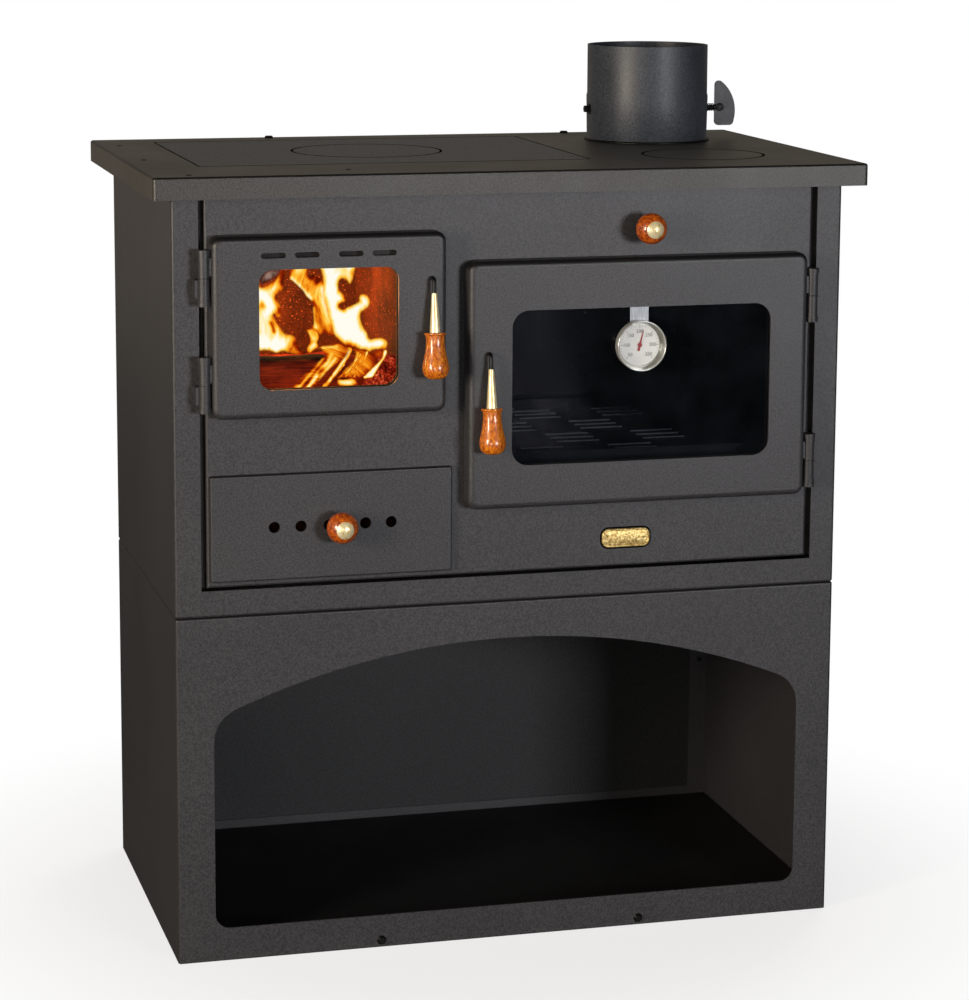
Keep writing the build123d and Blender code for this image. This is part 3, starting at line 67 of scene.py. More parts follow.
def setStops(ramp, stops):
    # stops are (place, hex colour)
    elements = ramp.color_ramp.elements
    while len(elements) < len(stops):
        elements.new(0.5)
    for element, (place, colour) in zip(elements, stops):
        element.position = place
        element.color = toLinear(colour)


def newFinish(name):
    material = bpy.data.materials.new(name)
    material.use_nodes = True
    material.node_tree.nodes.clear()
    return material, material.node_tree


def endFinish(tree, shader):
    addNode(tree, "ShaderNodeOutputMaterial", links={"Surface": shader.outputs[0]})


def linkObject(name, data):
    thing = bpy.data.objects.new(name, data)
    bpy.context.scene.collection.objects.link(thing)
    return thing


def newPiece(name, mesh, body, finish, smooth=True, crease=None):
    # mesh is a bmesh, already in place in the row frame; edges sharper than crease degrees stay crisp
    data = bpy.data.meshes.new(name)
    mesh.to_mesh(data)
    mesh.free()
    piece = linkObject(name, data)
    if smooth:
        data.shade_smooth()
    if crease:
        data.set_sharp_from_angle(angle=math.radians(crease))
    data.materials.append(finish)
    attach(piece, body)
    return piece


# ---- camera, at the photograph's standpoint

cameraFit = {
    "place": (-0.7975, -3.0213, 1.0560),
    "yaw": 15.148,
    "pitch": 9.174,
    "roll": 0.311,
    "lens": 108.9,
    "sensor": 36.0,
    "shiftUp": -0.13,
    "near": 0.1,
    "far": 30.0,
}


def placeCamera(fit):
    yaw, pitch, roll = (math.radians(fit[k]) for k in ("yaw", "pitch", "roll"))
    forward = Vector((math.sin(yaw) * math.cos(pitch), math.cos(yaw) * math.cos(pitch), -math.sin(pitch)))
    level = Vector((math.cos(yaw), -math.sin(yaw), 0.0))
    upright = level.cross(forward)
    right = math.cos(roll) * level + math.sin(roll) * upright
    up = -math.sin(roll) * level + math.cos(roll) * upright
    data = bpy.data.cameras.new("photoCamera")
    data.lens = fit["lens"]
    data.sensor_width = fit["sensor"]
    data.sensor_fit = "AUTO"
    data.shift_y = fit["shiftUp"]
    data.clip_start = fit["near"]
    data.clip_end = fit["far"]
    camera = linkObject("photoCamera", data)
    turn = Matrix((right, up, -forward)).transposed().to_4x4()
    camera.matrix_world = Matrix.Translation(fit["place"]) @ turn
    bpy.context.scene.camera = camera


placeCamera(cameraFit)
print("camera placed")


# ---- finishes

# Baked silicone paint on sheet steel: soft satin sheen, a fine orange-peel grain and faint cloudy shading.
satinPaint = {
    "colour": "323133", "cloud": "373638", "cloudMm": 160.0, "cloudShare": 0.6, "bendShade": 0.85,
    "roughness": 0.46, "roughSpread": 0.03, "grainMm": 1.7, "grainDepthMm": 0.06, "speckle": 0.6,
}
# The same paint on the hob, where heat has turned it browner and less even.
hobPaint = dict(satinPaint, colour="34322e", cloud="3c3933", cloudMm=120.0, roughness=0.44, roughSpread=0.05)
# Inside the plinth the floor pan is given a flat, nearly black coat: painted shade for the dark space under the stove.
plinthFloorShade = {
    "colour": "0c0c0e", "cloud": "131315", "cloudMm": 90.0, "cloudShare": 0.6,
    "roughness": 0.6, "roughSpread": 0.05, "grainMm": 2.4, "grainDepthMm": 0.05, "speckle": 0.6, "shine": 0.25,
}
# The plinth's rear sheet, seen through the arch, is painted darker than the stove: painted shade for the dim inside of
# the plinth.
rearShadeLook = dict(satinPaint, colour="232425", cloud="272829", cloudMm=110.0, shine=0.4)
# The flue collar's paint is coarser, sprayed over rolled sheet; it is also a shade bluer and lighter than the stove's,
# which is painted light for the cool light the collar catches.
collarLitPaint = {
    "colour": "34383f", "cloud": "3b4048", "cloudMm": 40.0, "cloudShare": 0.6,
    "roughness": 0.45, "roughSpread": 0.04, "grainMm": 1.8, "grainDepthMm": 0.09, "speckle": 0.6,
}
# Grey paint on the damper's sheet handle.
greyPaint = {
    "colour": "38363a", "cloud": "3e3c40", "cloudMm": 30.0, "cloudShare": 0.5,
    "roughness": 0.5, "roughSpread": 0.05, "grainMm": 2.0, "grainDepthMm": 0.03, "speckle": 0.4,
}
# Dead-matt black that gives no shine at any angle: laid in lines over the hob's plate joints and round the badge it is
# painted shade; the four hob plugs take it too.
deadMattBlack = dict(plinthFloorShade, colour="060606", cloud="0a0a09", cloudMm=30.0, shine=0.0, roughness=0.95)
# Mill sheet inside the stove, dulled by soot; on the door liners behind the air slots and on the strips in the grooves
# beside the front panel, its darkness is painted shade.
sootAndShadeSheet = {
    "colour": "2a2725", "cloud": "1c1a18", "cloudMm": 60.0, "cloudShare": 0.8,
    "roughness": 0.72, "roughSpread": 0.12, "grainMm": 2.5, "grainDepthMm": 0.03, "speckle": 0.18,
}
# Black oxide on turned rod, screws and the wound spring: thin, nearly black, lightly oiled.
blackOxide = {
    "colour": "080809", "cloud": "100f0f", "cloudMm": 12.0, "cloudShare": 0.6,
    "roughness": 0.42, "roughSpread": 0.08, "grainMm": 0.8, "grainDepthMm": 0.008, "speckle": 0.08, "shine": 0.3,
}
# Black vitreous enamel of the oven: glassy, with tiny pale flecks.
vitreousEnamel = {
    "colour": "121214", "cloud": "18181a", "cloudMm": 90.0, "cloudShare": 0.5,
    "roughness": 0.24, "roughSpread": 0.05, "grainMm": 3.0, "grainDepthMm": 0.01, "speckle": 0.2,
}


def coatedSheet(name, look):
    material, tree = newFinish(name)
    place = addNode(tree, "ShaderNodeTexCoord").outputs["Object"]
    cloud = addNode(tree, "ShaderNodeTexNoise", values={
        "Scale": perMetre(look["cloudMm"]), "Detail": 4.0, "Roughness": 0.55}, links={"Vector": place})
    grain = addNode(tree, "ShaderNodeTexNoise", values={
        "Scale": perMetre(look["grainMm"]), "Detail": 2.0, "Roughness": 0.6}, links={"Vector": place})
    share = addNode(tree, "ShaderNodeMapRange", values={
        "From Min": 0.35, "From Max": 0.65, "To Min": 0.0, "To Max": look["cloudShare"]},
        links={"Value": cloud.outputs["Fac"]})
    base = addNode(tree, "ShaderNodeMix", {"data_type": "RGBA"}, {
        "A": toLinear(look["colour"]), "B": toLinear(look["cloud"])}, {"Factor": share.outputs[0]})
    fleck = addNode(tree, "ShaderNodeMapRange", values={
        "From Min": 0.3, "From Max": 0.7, "To Min": 1.0 - look["speckle"], "To Max": 1.0 + look["speckle"]},
        links={"Value": grain.outputs["Fac"]})
    tone = fleck.outputs[0]
    if "bendShade" in look:
        # the upper curve of a bend is painted darker, as the photograph's bends mirror dark surroundings
        facing = addNode(tree, "ShaderNodeTexCoord").outputs["Normal"]
        upward = addNode(tree, "ShaderNodeSeparateXYZ", links={"Vector": facing}).outputs["Z"]
        rising = addNode(tree, "ShaderNodeMapRange", values={
            "From Min": 0.1, "From Max": 0.4, "To Min": 0.0, "To Max": look["bendShade"]}, links={"Value": upward})
        lying = addNode(tree, "ShaderNodeMapRange", values={
            "From Min": 0.93, "From Max": 0.99, "To Min": 1.0, "To Max": 0.0}, links={"Value": upward})
        band = addNode(tree, "ShaderNodeMath", {"operation": "MULTIPLY"}, links={
            0: rising.outputs[0], 1: lying.outputs[0]})
        kept = addNode(tree, "ShaderNodeMath", {"operation": "SUBTRACT"}, {0: 1.0}, {1: band.outputs[0]})
        shaded = addNode(tree, "ShaderNodeMath", {"operation": "MULTIPLY"}, links={0: tone, 1: kept.outputs[0]})
        tone = shaded.outputs[0]
    colour = addNode(tree, "ShaderNodeVectorMath", {"operation": "SCALE"}, links={
        "Vector": base.outputs["Result"], "Scale": tone})
    rough = addNode(tree, "ShaderNodeMapRange", values={
        "From Min": 0.3, "From Max": 0.7,
        "To Min": look["roughness"] - look["roughSpread"], "To Max": look["roughness"] + look["roughSpread"]},
        links={"Value": cloud.outputs["Fac"]})
    bump = addNode(tree, "ShaderNodeBump", values={
        "Strength": 1.0, "Distance": look["grainDepthMm"] / 1000}, links={"Height": grain.outputs["Fac"]})
    shader = addNode(tree, "ShaderNodeBsdfPrincipled", values={"Specular IOR Level": look.get("shine", 0.5)}, links={
        "Base Color": colour.outputs[0], "Roughness": rough.outputs[0], "Normal": bump.outputs[0]})
    endFinish(tree, shader)
    return material


stovePaint = coatedSheet("satinStovePaint", satinPaint)
topPaint = coatedSheet("heatBrownedPaint", hobPaint)
plinthFloorShadePaint = coatedSheet("flatBlackShadePaint", plinthFloorShade)
rearShadePaint = coatedSheet("shadedRearPaint", rearShadeLook)
flueLitPaint = coatedSheet("flueLitPaint", collarLitPaint)
handlePaint = coatedSheet("greyHandlePaint", greyPaint)
innerSheet = coatedSheet("sootyShadedSheet", sootAndShadeSheet)
jointBlack = coatedSheet("deadMattBlack", deadMattBlack)
oxideSteel = coatedSheet("blackOxideSteel", blackOxide)
ovenEnamel = coatedSheet("blackVitreousEnamel", vitreousEnamel)

# Grey cast iron with a ground top: bluish dark grey, faint straight grinding streaks, pores between them.
groundIron = {
    "colour": "3d3f43", "streak": "4d4f52", "streakMm": (0.9, 90.0), "poreMm": 2.2,
    "roughness": 0.5, "roughSpread": 0.08, "depthMm": 0.02,
}


def groundCasting(name, look):
    material, tree = newFinish(name)
    place = addNode(tree, "ShaderNodeTexCoord").outputs["Object"]
    across, along = look["streakMm"]
    stretched = addNode(tree, "ShaderNodeMapping", {"vector_type": "POINT"}, {
        "Scale": (perMetre(along), perMetre(across), perMetre(across))}, {"Vector": place})
    streak = addNode(tree, "ShaderNodeTexNoise", values={"Scale": 1.0, "Detail": 3.0, "Roughness": 0.6},
                     links={"Vector": stretched.outputs[0]})
    pore = addNode(tree, "ShaderNodeTexNoise", values={"Scale": perMetre(look["poreMm"]), "Detail": 3.0},
                   links={"Vector": place})
    tone = addNode(tree, "ShaderNodeMapRange", values={"From Min": 0.35, "From Max": 0.7},
                   links={"Value": streak.outputs["Fac"]})
    colour = addNode(tree, "ShaderNodeMix", {"data_type": "RGBA"}, {
        "A": toLinear(look["colour"]), "B": toLinear(look["streak"])}, {"Factor": tone.outputs[0]})
    height = addNode(tree, "ShaderNodeMath", {"operation": "MULTIPLY_ADD"}, {1: 0.5}, {
        0: streak.outputs["Fac"], 2: pore.outputs["Fac"]})
    bump = addNode(tree, "ShaderNodeBump", values={"Strength": 1.0, "Distance": look["depthMm"] / 1000},
                   links={"Height": height.outputs[0]})
    rough = addNode(tree, "ShaderNodeMapRange", values={
        "From Min": 0.3, "From Max": 0.7,
        "To Min": look["roughness"] - look["roughSpread"], "To Max": look["roughness"] + look["roughSpread"]},
        links={"Value": pore.outputs["Fac"]})
    shader = addNode(tree, "ShaderNodeBsdfPrincipled", links={
        "Base Color": colour.outputs["Result"], "Roughness": rough.outputs[0], "Normal": bump.outputs[0]})
    endFinish(tree, shader)
    return material


castIron = groundCasting("groundCastIron", groundIron)

# Polished brass under thin lacquer, with faint upright marks: a pale gold that is only partly metal, so part of its
# brightness is painted reflection.
turnedBrass = {"colour": "fff4cc", "shade": "eacf8c", "roughness": 0.34, "lineMm": 2.4, "depthMm": 0.14,
               "metal": 0.42}
# Cast and gilded plaque: the same gold with a pebbled skin, dark in the hollows, and again only partly metal, so part
# of its brightness is painted reflection.
castBrass = {"colour": "f6de98", "shade": "a07c34", "roughness": 0.36, "lineMm": 2.4, "depthMm": 0.5,
             "metal": 0.6}
# Aluminium strip, rolled and left bare: light grey with fine lines along its length.
rolledAluminium = {"colour": "989b9e", "shade": "75797c", "roughness": 0.4, "lineMm": 1.2, "depthMm": 0.02,
                   "metal": 0.6}
# Bright stainless cup of the thermometer: near white and only partly metal, so part of its brightness is painted
# reflection.
brightSteel = {"colour": "e2e2de", "shade": "b8b8b6", "roughness": 0.22, "lineMm": 0.9, "depthMm": 0.01,
               "metal": 0.55}
# Near-white finish of the lips along the tray's slots: painted highlight for the light that their pressed edges catch.
lipHighlightLook = {"colour": "e6e8ea", "shade": "b8babc", "roughness": 0.5, "lineMm": 2.0, "depthMm": 0.01, "metal": 0.0}


def brightMetal(name, look, direction=(1.0, 1.0, 1.0)):
    # direction stretches the marks: a small value along an axis draws lines that way
    material, tree = newFinish(name)
    place = addNode(tree, "ShaderNodeTexCoord").outputs["Object"]
    stretched = addNode(tree, "ShaderNodeMapping", {"vector_type": "POINT"}, {
        "Scale": tuple(perMetre(look["lineMm"]) * d for d in direction)}, {"Vector": place})
    marks = addNode(tree, "ShaderNodeTexNoise", values={"Scale": 1.0, "Detail": 3.0, "Roughness": 0.6},
                    links={"Vector": stretched.outputs[0]})
    tone = addNode(tree, "ShaderNodeMapRange", values={"From Min": 0.35, "From Max": 0.65},
                   links={"Value": marks.outputs["Fac"]})
    colour = addNode(tree, "ShaderNodeMix", {"data_type": "RGBA"}, {
        "A": toLinear(look["shade"]), "B": toLinear(look["colour"])}, {"Factor": tone.outputs[0]})
    rough = addNode(tree, "ShaderNodeMapRange", values={
        "From Min": 0.3, "From Max": 0.7, "To Min": look["roughness"] * 0.75, "To Max": look["roughness"] * 1.25},
        links={"Value": marks.outputs["Fac"]})
    bump = addNode(tree, "ShaderNodeBump", values={"Strength": 1.0, "Distance": look["depthMm"] / 1000},
                   links={"Height": marks.outputs["Fac"]})
    shader = addNode(tree, "ShaderNodeBsdfPrincipled", values={"Metallic": look["metal"]}, links={
        "Base Color": colour.outputs["Result"], "Roughness": rough.outputs[0], "Normal": bump.outputs[0]})
    endFinish(tree, shader)
    return material


brass = brightMetal("turnedBrass", turnedBrass, (1.0, 1.0, 0.15))
plaqueBrass = brightMetal("castBrassPlaque", castBrass)
aluminium = brightMetal("rolledAluminium", rolledAluminium, (1.0, 1.0, 0.05))
cupSteel = brightMetal("brightStainless", brightSteel)
lipHighlight = brightMetal("paintedLipHighlight", lipHighlightLook)

# Turned beech stained amber under thick gloss lacquer: orange body, darker grain lines along the turning axis, and pale
# gold streaks that are partly grain and partly painted highlight.
lacqueredBeech = {
    "colour": "c86400", "dark": "842e00", "light": "f49a10", "grainMm": (1.9, 3.6), "depthMm": 0.02,
    "roughness": 0.42, "coat": 0.8, "coatRough": 0.12,
}
# The turned knobs took more stain: deeper red-brown.
stainedBeech = dict(lacqueredBeech, colour="ac4600", dark="5c1c00", light="dc7412", grainMm=(2.2, 4.4))


def turnedWood(name, look, along):
    # along is the axis that the grain runs on: 0 x, 1 y, 2 z
    material, tree = newFinish(name)
    place = addNode(tree, "ShaderNodeTexCoord").outputs["Object"]
    fine, length = look["grainMm"]
    scales = [perMetre(fine)] * 3
    scales[along] = perMetre(length)
    stretched = addNode(tree, "ShaderNodeMapping", {"vector_type": "POINT"}, {"Scale": tuple(scales)},
                        {"Vector": place})
    grain = addNode(tree, "ShaderNodeTexNoise", values={
        "Scale": 1.0, "Detail": 4.0, "Roughness": 0.65, "Distortion": 0.4}, links={"Vector": stretched.outputs[0]})
    ramp = addNode(tree, "ShaderNodeValToRGB", links={"Fac": grain.outputs["Fac"]})
    # the light stop is partly pale grain and partly painted highlight of the lacquer
    setStops(ramp, [(0.34, look["dark"]), (0.5, look["colour"]), (0.68, look["light"])])
    bump = addNode(tree, "ShaderNodeBump", values={"Strength": 0.5, "Distance": look["depthMm"] / 1000},
                   links={"Height": grain.outputs["Fac"]})
    shader = addNode(tree, "ShaderNodeBsdfPrincipled", values={
        "Roughness": look["roughness"], "Coat Weight": look["coat"], "Coat Roughness": look["coatRough"],
        "Coat IOR": 1.5}, links={"Base Color": ramp.outputs["Color"], "Normal": bump.outputs[0]})
    endFinish(tree, shader)
    return material


gripWood = turnedWood("lacqueredBeechGrip", lacqueredBeech, 2)
knobWood = turnedWood("lacqueredBeechKnob", stainedBeech, 1)

# Fired vermiculite brick: red-brown and granular, blackened by the fire; its glowing specks are painted light, for
# firelight glinting on the grains.
fireBrickLook = {"colour": "7c3e22", "soot": "38160a", "grainMm": 2.6, "grainDepthMm": 0.6, "sootMm": 45.0,
                 "roughness": 0.9, "glintColour": "ff7a28", "glintMm": 2.4, "glintGlow": 1.4}


def firedBrick(name, look):
    material, tree = newFinish(name)
    place = addNode(tree, "ShaderNodeTexCoord").outputs["Object"]
    grain = addNode(tree, "ShaderNodeTexNoise", values={"Scale": perMetre(look["grainMm"]), "Detail": 5.0},
                    links={"Vector": place})
    soot = addNode(tree, "ShaderNodeTexNoise", values={"Scale": perMetre(look["sootMm"]), "Detail": 4.0},
                   links={"Vector": place})
    mixed = addNode(tree, "ShaderNodeMath", {"operation": "MULTIPLY_ADD", "use_clamp": True}, {1: 0.5}, {
        0: grain.outputs["Fac"], 2: soot.outputs["Fac"]})
    ramp = addNode(tree, "ShaderNodeValToRGB", links={"Fac": mixed.outputs[0]})
    setStops(ramp, [(0.55, look["soot"]), (0.95, look["colour"])])
    bump = addNode(tree, "ShaderNodeBump", values={"Strength": 0.8, "Distance": look["grainDepthMm"] / 1000},
                   links={"Height": grain.outputs["Fac"]})
    # painted light: specks that glow, for firelight glinting on the grains
    speck = addNode(tree, "ShaderNodeTexNoise", values={"Scale": perMetre(look["glintMm"]), "Detail": 1.0},
                    links={"Vector": place})
    glow = addNode(tree, "ShaderNodeMapRange", values={
        "From Min": 0.66, "From Max": 0.8, "To Min": 0.0, "To Max": look["glintGlow"]},
                   links={"Value": speck.outputs["Fac"]})
    shader = addNode(tree, "ShaderNodeBsdfPrincipled", values={
        "Roughness": look["roughness"], "Emission Color": toLinear(look["glintColour"])}, links={
        "Base Color": ramp.outputs["Color"], "Normal": bump.outputs[0], "Emission Strength": glow.outputs[0]})
    endFinish(tree, shader)
    return material


brick = firedBrick("firedVermiculite", fireBrickLook)

# Braided glass-fibre door rope: grey-black, with the braid's small diagonal ridges.
ropeLook = {"colour": "2c2a28", "light": "4b4844", "ridgeMm": 3.2, "ridgeDepthMm": 0.5, "roughness": 0.92}
# a wave pattern of scale 1 draws about this many light and dark ridges to a unit
ridgesPerUnit = 6.28


def braidedRope(name, look):
    material, tree = newFinish(name)
    place = addNode(tree, "ShaderNodeTexCoord").outputs["Object"]
    tilted = addNode(tree, "ShaderNodeMapping", {"vector_type": "POINT"}, {
        "Rotation": (0.0, math.radians(45), 0.0)}, {"Vector": place})
    ridge = addNode(tree, "ShaderNodeTexWave", {"wave_type": "BANDS", "bands_direction": "X"}, {
        "Scale": perMetre(look["ridgeMm"]) / ridgesPerUnit, "Distortion": 1.5, "Detail": 2.0},
        {"Vector": tilted.outputs[0]})
    ramp = addNode(tree, "ShaderNodeValToRGB", links={"Fac": ridge.outputs["Fac"]})
    setStops(ramp, [(0.2, look["colour"]), (0.9, look["light"])])
    bump = addNode(tree, "ShaderNodeBump", values={"Strength": 0.8, "Distance": look["ridgeDepthMm"] / 1000},
                   links={"Height": ridge.outputs["Fac"]})
    shader = addNode(tree, "ShaderNodeBsdfPrincipled", values={"Roughness": look["roughness"]}, links={
        "Base Color": ramp.outputs["Color"], "Normal": bump.outputs[0]})
    endFinish(tree, shader)
    return material


rope = braidedRope("braidedGlassRope", ropeLook)

# Heat-proof glass ceramic: clear with a faint amber cast, and a clean mirror on its face.
fireGlassLook = {"tint": "fbf7f0", "roughness": 0.02, "mirror": 0.2}
# Oven glass: a smoky cast, and a faint bluish diffuse film in clouds, which is painted reflection for the cool sheen on
# the pane.
ovenGlassLook = {"tint": "d0d0d4", "roughness": 0.03, "mirror": 0.15, "haze": 0.017, "hazeTone": "5c6874"}
# The thermometer's lens: clear, with a hard small glint.
lensLook = {"tint": "fcfcfa", "roughness": 0.02, "mirror": 0.6}
filmMm = 40.0


def thinPane(name, look):
    # light passes straight through, and a share of it mirrors as on a flat pane
    material, tree = newFinish(name)
    place = addNode(tree, "ShaderNodeTexCoord").outputs["Object"]
    film = addNode(tree, "ShaderNodeTexNoise", values={"Scale": perMetre(filmMm), "Detail": 3.0},
                   links={"Vector": place})
    rough = addNode(tree, "ShaderNodeMapRange", values={
        "From Min": 0.3, "From Max": 0.7, "To Min": look["roughness"], "To Max": look["roughness"] * 2.5},
        links={"Value": film.outputs["Fac"]})
    see = addNode(tree, "ShaderNodeBsdfTransparent", values={"Color": toLinear(look["tint"])})
    mirror = addNode(tree, "ShaderNodeBsdfGlossy", values={"Color": (1, 1, 1, 1)},
                     links={"Roughness": rough.outputs[0]})
    bend = addNode(tree, "ShaderNodeFresnel", values={"IOR": 1.5})
    part = addNode(tree, "ShaderNodeMath", {"operation": "MULTIPLY"}, {1: look["mirror"]}, {0: bend.outputs[0]})
    shader = addNode(tree, "ShaderNodeMixShader", links={
        0: part.outputs[0], 1: see.outputs[0], 2: mirror.outputs[0]})
    if "haze" in look:
        # painted reflection: a faint bluish diffuse film, in clouds
        cloud = addNode(tree, "ShaderNodeMapRange", values={
            "From Min": 0.3, "From Max": 0.7, "To Min": look["haze"] * 0.3, "To Max": look["haze"] * 1.7},
            links={"Value": film.outputs["Fac"]})
        paintedSheen = addNode(tree, "ShaderNodeBsdfDiffuse", values={"Color": toLinear(look["hazeTone"])})
        shader = addNode(tree, "ShaderNodeMixShader", links={
            0: cloud.outputs[0], 1: shader.outputs[0], 2: paintedSheen.outputs[0]})
    endFinish(tree, shader)
    return material


fireGlass = thinPane("amberCeramicGlass", fireGlassLook)
ovenGlass = thinPane("darkOvenGlass", ovenGlassLook)
lensGlass = thinPane("dialLensGlass", lensLook)

# Screen-printed dial: matt white enamel face with a faint grey mottle.
dialEnamel = {
    "colour": "fcfcfe", "cloud": "f4f4f6", "cloudMm": 8.0, "cloudShare": 0.6,
    "roughness": 0.45, "roughSpread": 0.05, "grainMm": 0.8, "grainDepthMm": 0.002, "speckle": 0.02,
}
# Red enamel on the pointer and dark grey printing ink on the dial.
pointerEnamel = dict(dialEnamel, colour="a51f24", cloud="b52a2c")
dialInk = dict(dialEnamel, colour="403f3d", cloud="4a4845")

dialFace = coatedSheet("whiteDialEnamel", dialEnamel)
pointerRed = coatedSheet("redPointerEnamel", pointerEnamel)
inkGrey = coatedSheet("greyDialInk", dialInk)

slotFinish = {
    "stove_paint": stovePaint, "hob_paint": topPaint, "cast_iron": castIron, "inner_sheet": innerSheet,
    "black_steel": oxideSteel, "grey_steel": handlePaint, "firebrick": brick, "oven_enamel": ovenEnamel,
    "brass": brass, "rope_seal": rope, "ceramic_glass": fireGlass, "lacquered_wood": gripWood,
    "aluminium_strip": aluminium, "polished_steel": cupSteel, "dial_white": dialFace,
    "lens_glass": lensGlass, "pointer_red": pointerRed,
}
nodeFinish = {
    "oven_glass": ovenGlass, "badge_plate": plaqueBrass, "drawer_knob": knobWood, "bypass_knob": knobWood,
    # the plinth's floor and rear sheet take darker coats: painted shade inside the plinth
    "plinth_floor": plinthFloorShadePaint, "plinth_rear": rearShadePaint,
    # the door liners take the sooty sheet as painted shade, so that the air slots in front of them read dark
    "fire_door_liner": innerSheet, "oven_door_liner": innerSheet,
}
for nodeName, node in nodes.items():
    slotName = node.data.materials[0].name
    node.data.materials[0] = nodeFinish.get(nodeName, slotFinish[slotName])
print("finishes made and assigned")

# ---- added pieces

# the hob's top, and the reach in which two points count as one
hobTop, weldReach = 0.7800, 1e-6


def bevelEdges(shape, edges, offset, segments=2):
    bmesh.ops.bevel(shape, geom=edges, offset=offset, offset_type="OFFSET", segments=segments, profile=0.5,
                    affect="EDGES", material=-1)


def spinProfile(points, centre, axis, steps=96):
    # points are (radius, height along the axis); a closed profile is turned once round the axis
    shape = bmesh.new()
    across = Vector((1.0, 0.0, 0.0)) if abs(axis.x) < 0.5 else Vector((0.0, 1.0, 0.0))
    verts = [shape.verts.new(centre + across * r + axis * h) for r, h in points]
    edges = [shape.edges.new((a, b)) for a, b in zip(verts, verts[1:] + verts[:1])]
    bmesh.ops.spin(shape, geom=verts + edges, cent=centre, axis=axis, dvec=(0, 0, 0), angle=math.tau, steps=steps,
                   use_merge=True, use_duplicate=False)
    bmesh.ops.remove_doubles(shape, verts=shape.verts[:], dist=weldReach)
    bmesh.ops.recalc_face_normals(shape, faces=shape.faces[:])
    return shape


def circleSection(radius, thick, sides):
    # a round section of half thickness thick, at this radius from the axis
    return [(radius + thick * math.cos(a), thick * math.sin(a))
            for a in (math.tau * i / sides for i in range(sides))]


def onlyVerts(made):
    return [g for g in made if isinstance(g, bmesh.types.BMVert)]


def wholeShape(shape):
    return shape.verts[:] + shape.edges[:] + shape.faces[:]


def meshOfCurve(name, curve):
    # the mesh that a text or a curve gives
    holder = linkObject(name, curve)
    data = bpy.data.meshes.new_from_object(holder)
    bpy.data.objects.remove(holder)
    return data


def nodeCopy(name):
    # a merged copy of a CAD node's mesh, to be reshaped and then to stand for the node
    shape = bmesh.new()
    shape.from_mesh(nodes[name].data)
    bmesh.ops.remove_doubles(shape, verts=shape.verts[:], dist=weldReach)
    return shape


# The flue collar without its swaged step, as the photograph shows it, with a dark weld bead at its foot.
collar = {
    "centre": (0.231, 0.109), "outer": 0.065, "upperOuter": 0.0642, "upperFrom": 0.8205, "wallFrom": 0.055,
    "beadRadius": 0.0662, "beadThick": 0.0017, "beadHeight": 0.7806, "beadRough": 0.0005, "ripples": (22, 30),
}


def makeCollar(look):
    shape = nodeCopy("flue_collar")
    cx, cy = look["centre"]
    swage = look["outer"] - look["upperOuter"]
    for v in shape.verts:
        away = Vector((v.co.x - cx, v.co.y - cy, 0.0))
        if v.co.z > look["upperFrom"] and away.length > look["wallFrom"]:
            v.co += away.normalized() * swage
    bmesh.ops.recalc_face_normals(shape, faces=shape.faces[:])
    piece = newPiece("flueCollar", shape, "stove", flueLitPaint, crease=35)
    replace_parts(piece, "flue_collar")
    # the weld bead: a ring whose ripples come from noise
    ring = circleSection(look["beadRadius"], look["beadThick"], 10)
    outward, upward = look["ripples"]
    bead = spinProfile(ring, Vector((cx, cy, look["beadHeight"])), Vector((0.0, 0.0, 1.0)), 180)
    for v in bead.verts:
        away = Vector((v.co.x - cx, v.co.y - cy, 0.0))
        turn = math.atan2(away.y, away.x)
        v.co += away.normalized() * noise.noise(Vector((turn * outward, 0.0, 0.0))) * look["beadRough"]
        lift = noise.noise(Vector((turn * upward, 5.0, 0.0))) * look["beadRough"]
        v.co.z = max(v.co.z + lift, hobTop + 0.0001)
    newPiece("collarWeld", bead, "stove", oxideSteel)


makeCollar(collar)

# The shaft's end is bent to an eye over the handle, and a washer lies under the nut.
shaftEye = {"centre": (0.3145, 0.1072, 0.814), "radius": 0.0030, "wire": 0.0014}
nutRing = {"centre": (0.1655, 0.109, 0.814), "inner": 0.0026, "outer": 0.0056, "thick": 0.0010}


def makeShaftFittings(eye, ring):
    circle = circleSection(eye["radius"], eye["wire"], 12)
    newPiece("shaftEye", spinProfile(circle, Vector(eye["centre"]), Vector((0.0, 1.0, 0.0)), 40),
             "flue_damper", oxideSteel)
    section = [(ring["inner"], 0.0), (ring["outer"], 0.0), (ring["outer"], -ring["thick"]),
               (ring["inner"], -ring["thick"])]
    newPiece("nutWasher", spinProfile(section, Vector(ring["centre"]), Vector((1.0, 0.0, 0.0)), 40),
             "flue_damper", oxideSteel, crease=35)


makeShaftFittings(shaftEye, nutRing)

# Upright strips that close the shadow grooves beside the front panel, set back from its face; their dark sooty finish
# is painted shade in the grooves.
grooveStrip = {
    "inner": 0.3090, "outer": 0.3162, "front": -0.1888, "back": -0.1825, "thick": 0.0010,
    "bottom": 0.3775, "top": 0.7575, "bevel": 0.0003,
}


def makeGrooveStrips(look):
    for side, name in ((-1, "leftGrooveStrip"), (1, "rightGrooveStrip")):
        shape = bmesh.new()
        corners = [(look["outer"], look["front"]), (look["outer"], look["back"]), (look["inner"], look["back"])]
        verts = [shape.verts.new((side * x, y, look["bottom"])) for x, y in corners]
        edges = [shape.edges.new(pair) for pair in zip(verts, verts[1:])]
        raised = bmesh.ops.extrude_edge_only(shape, edges=edges)["geom"]
        bmesh.ops.translate(shape, vec=(0, 0, look["top"] - look["bottom"]), verts=onlyVerts(raised))
        bmesh.ops.solidify(shape, geom=shape.faces[:], thickness=look["thick"])
        bmesh.ops.recalc_face_normals(shape, faces=shape.faces[:])
        upright = [e for e in shape.edges if abs((e.verts[0].co - e.verts[1].co).z) > 0.1]
        bevelEdges(shape, upright, look["bevel"])
        newPiece(name, shape, "stove", innerSheet, smooth=False)


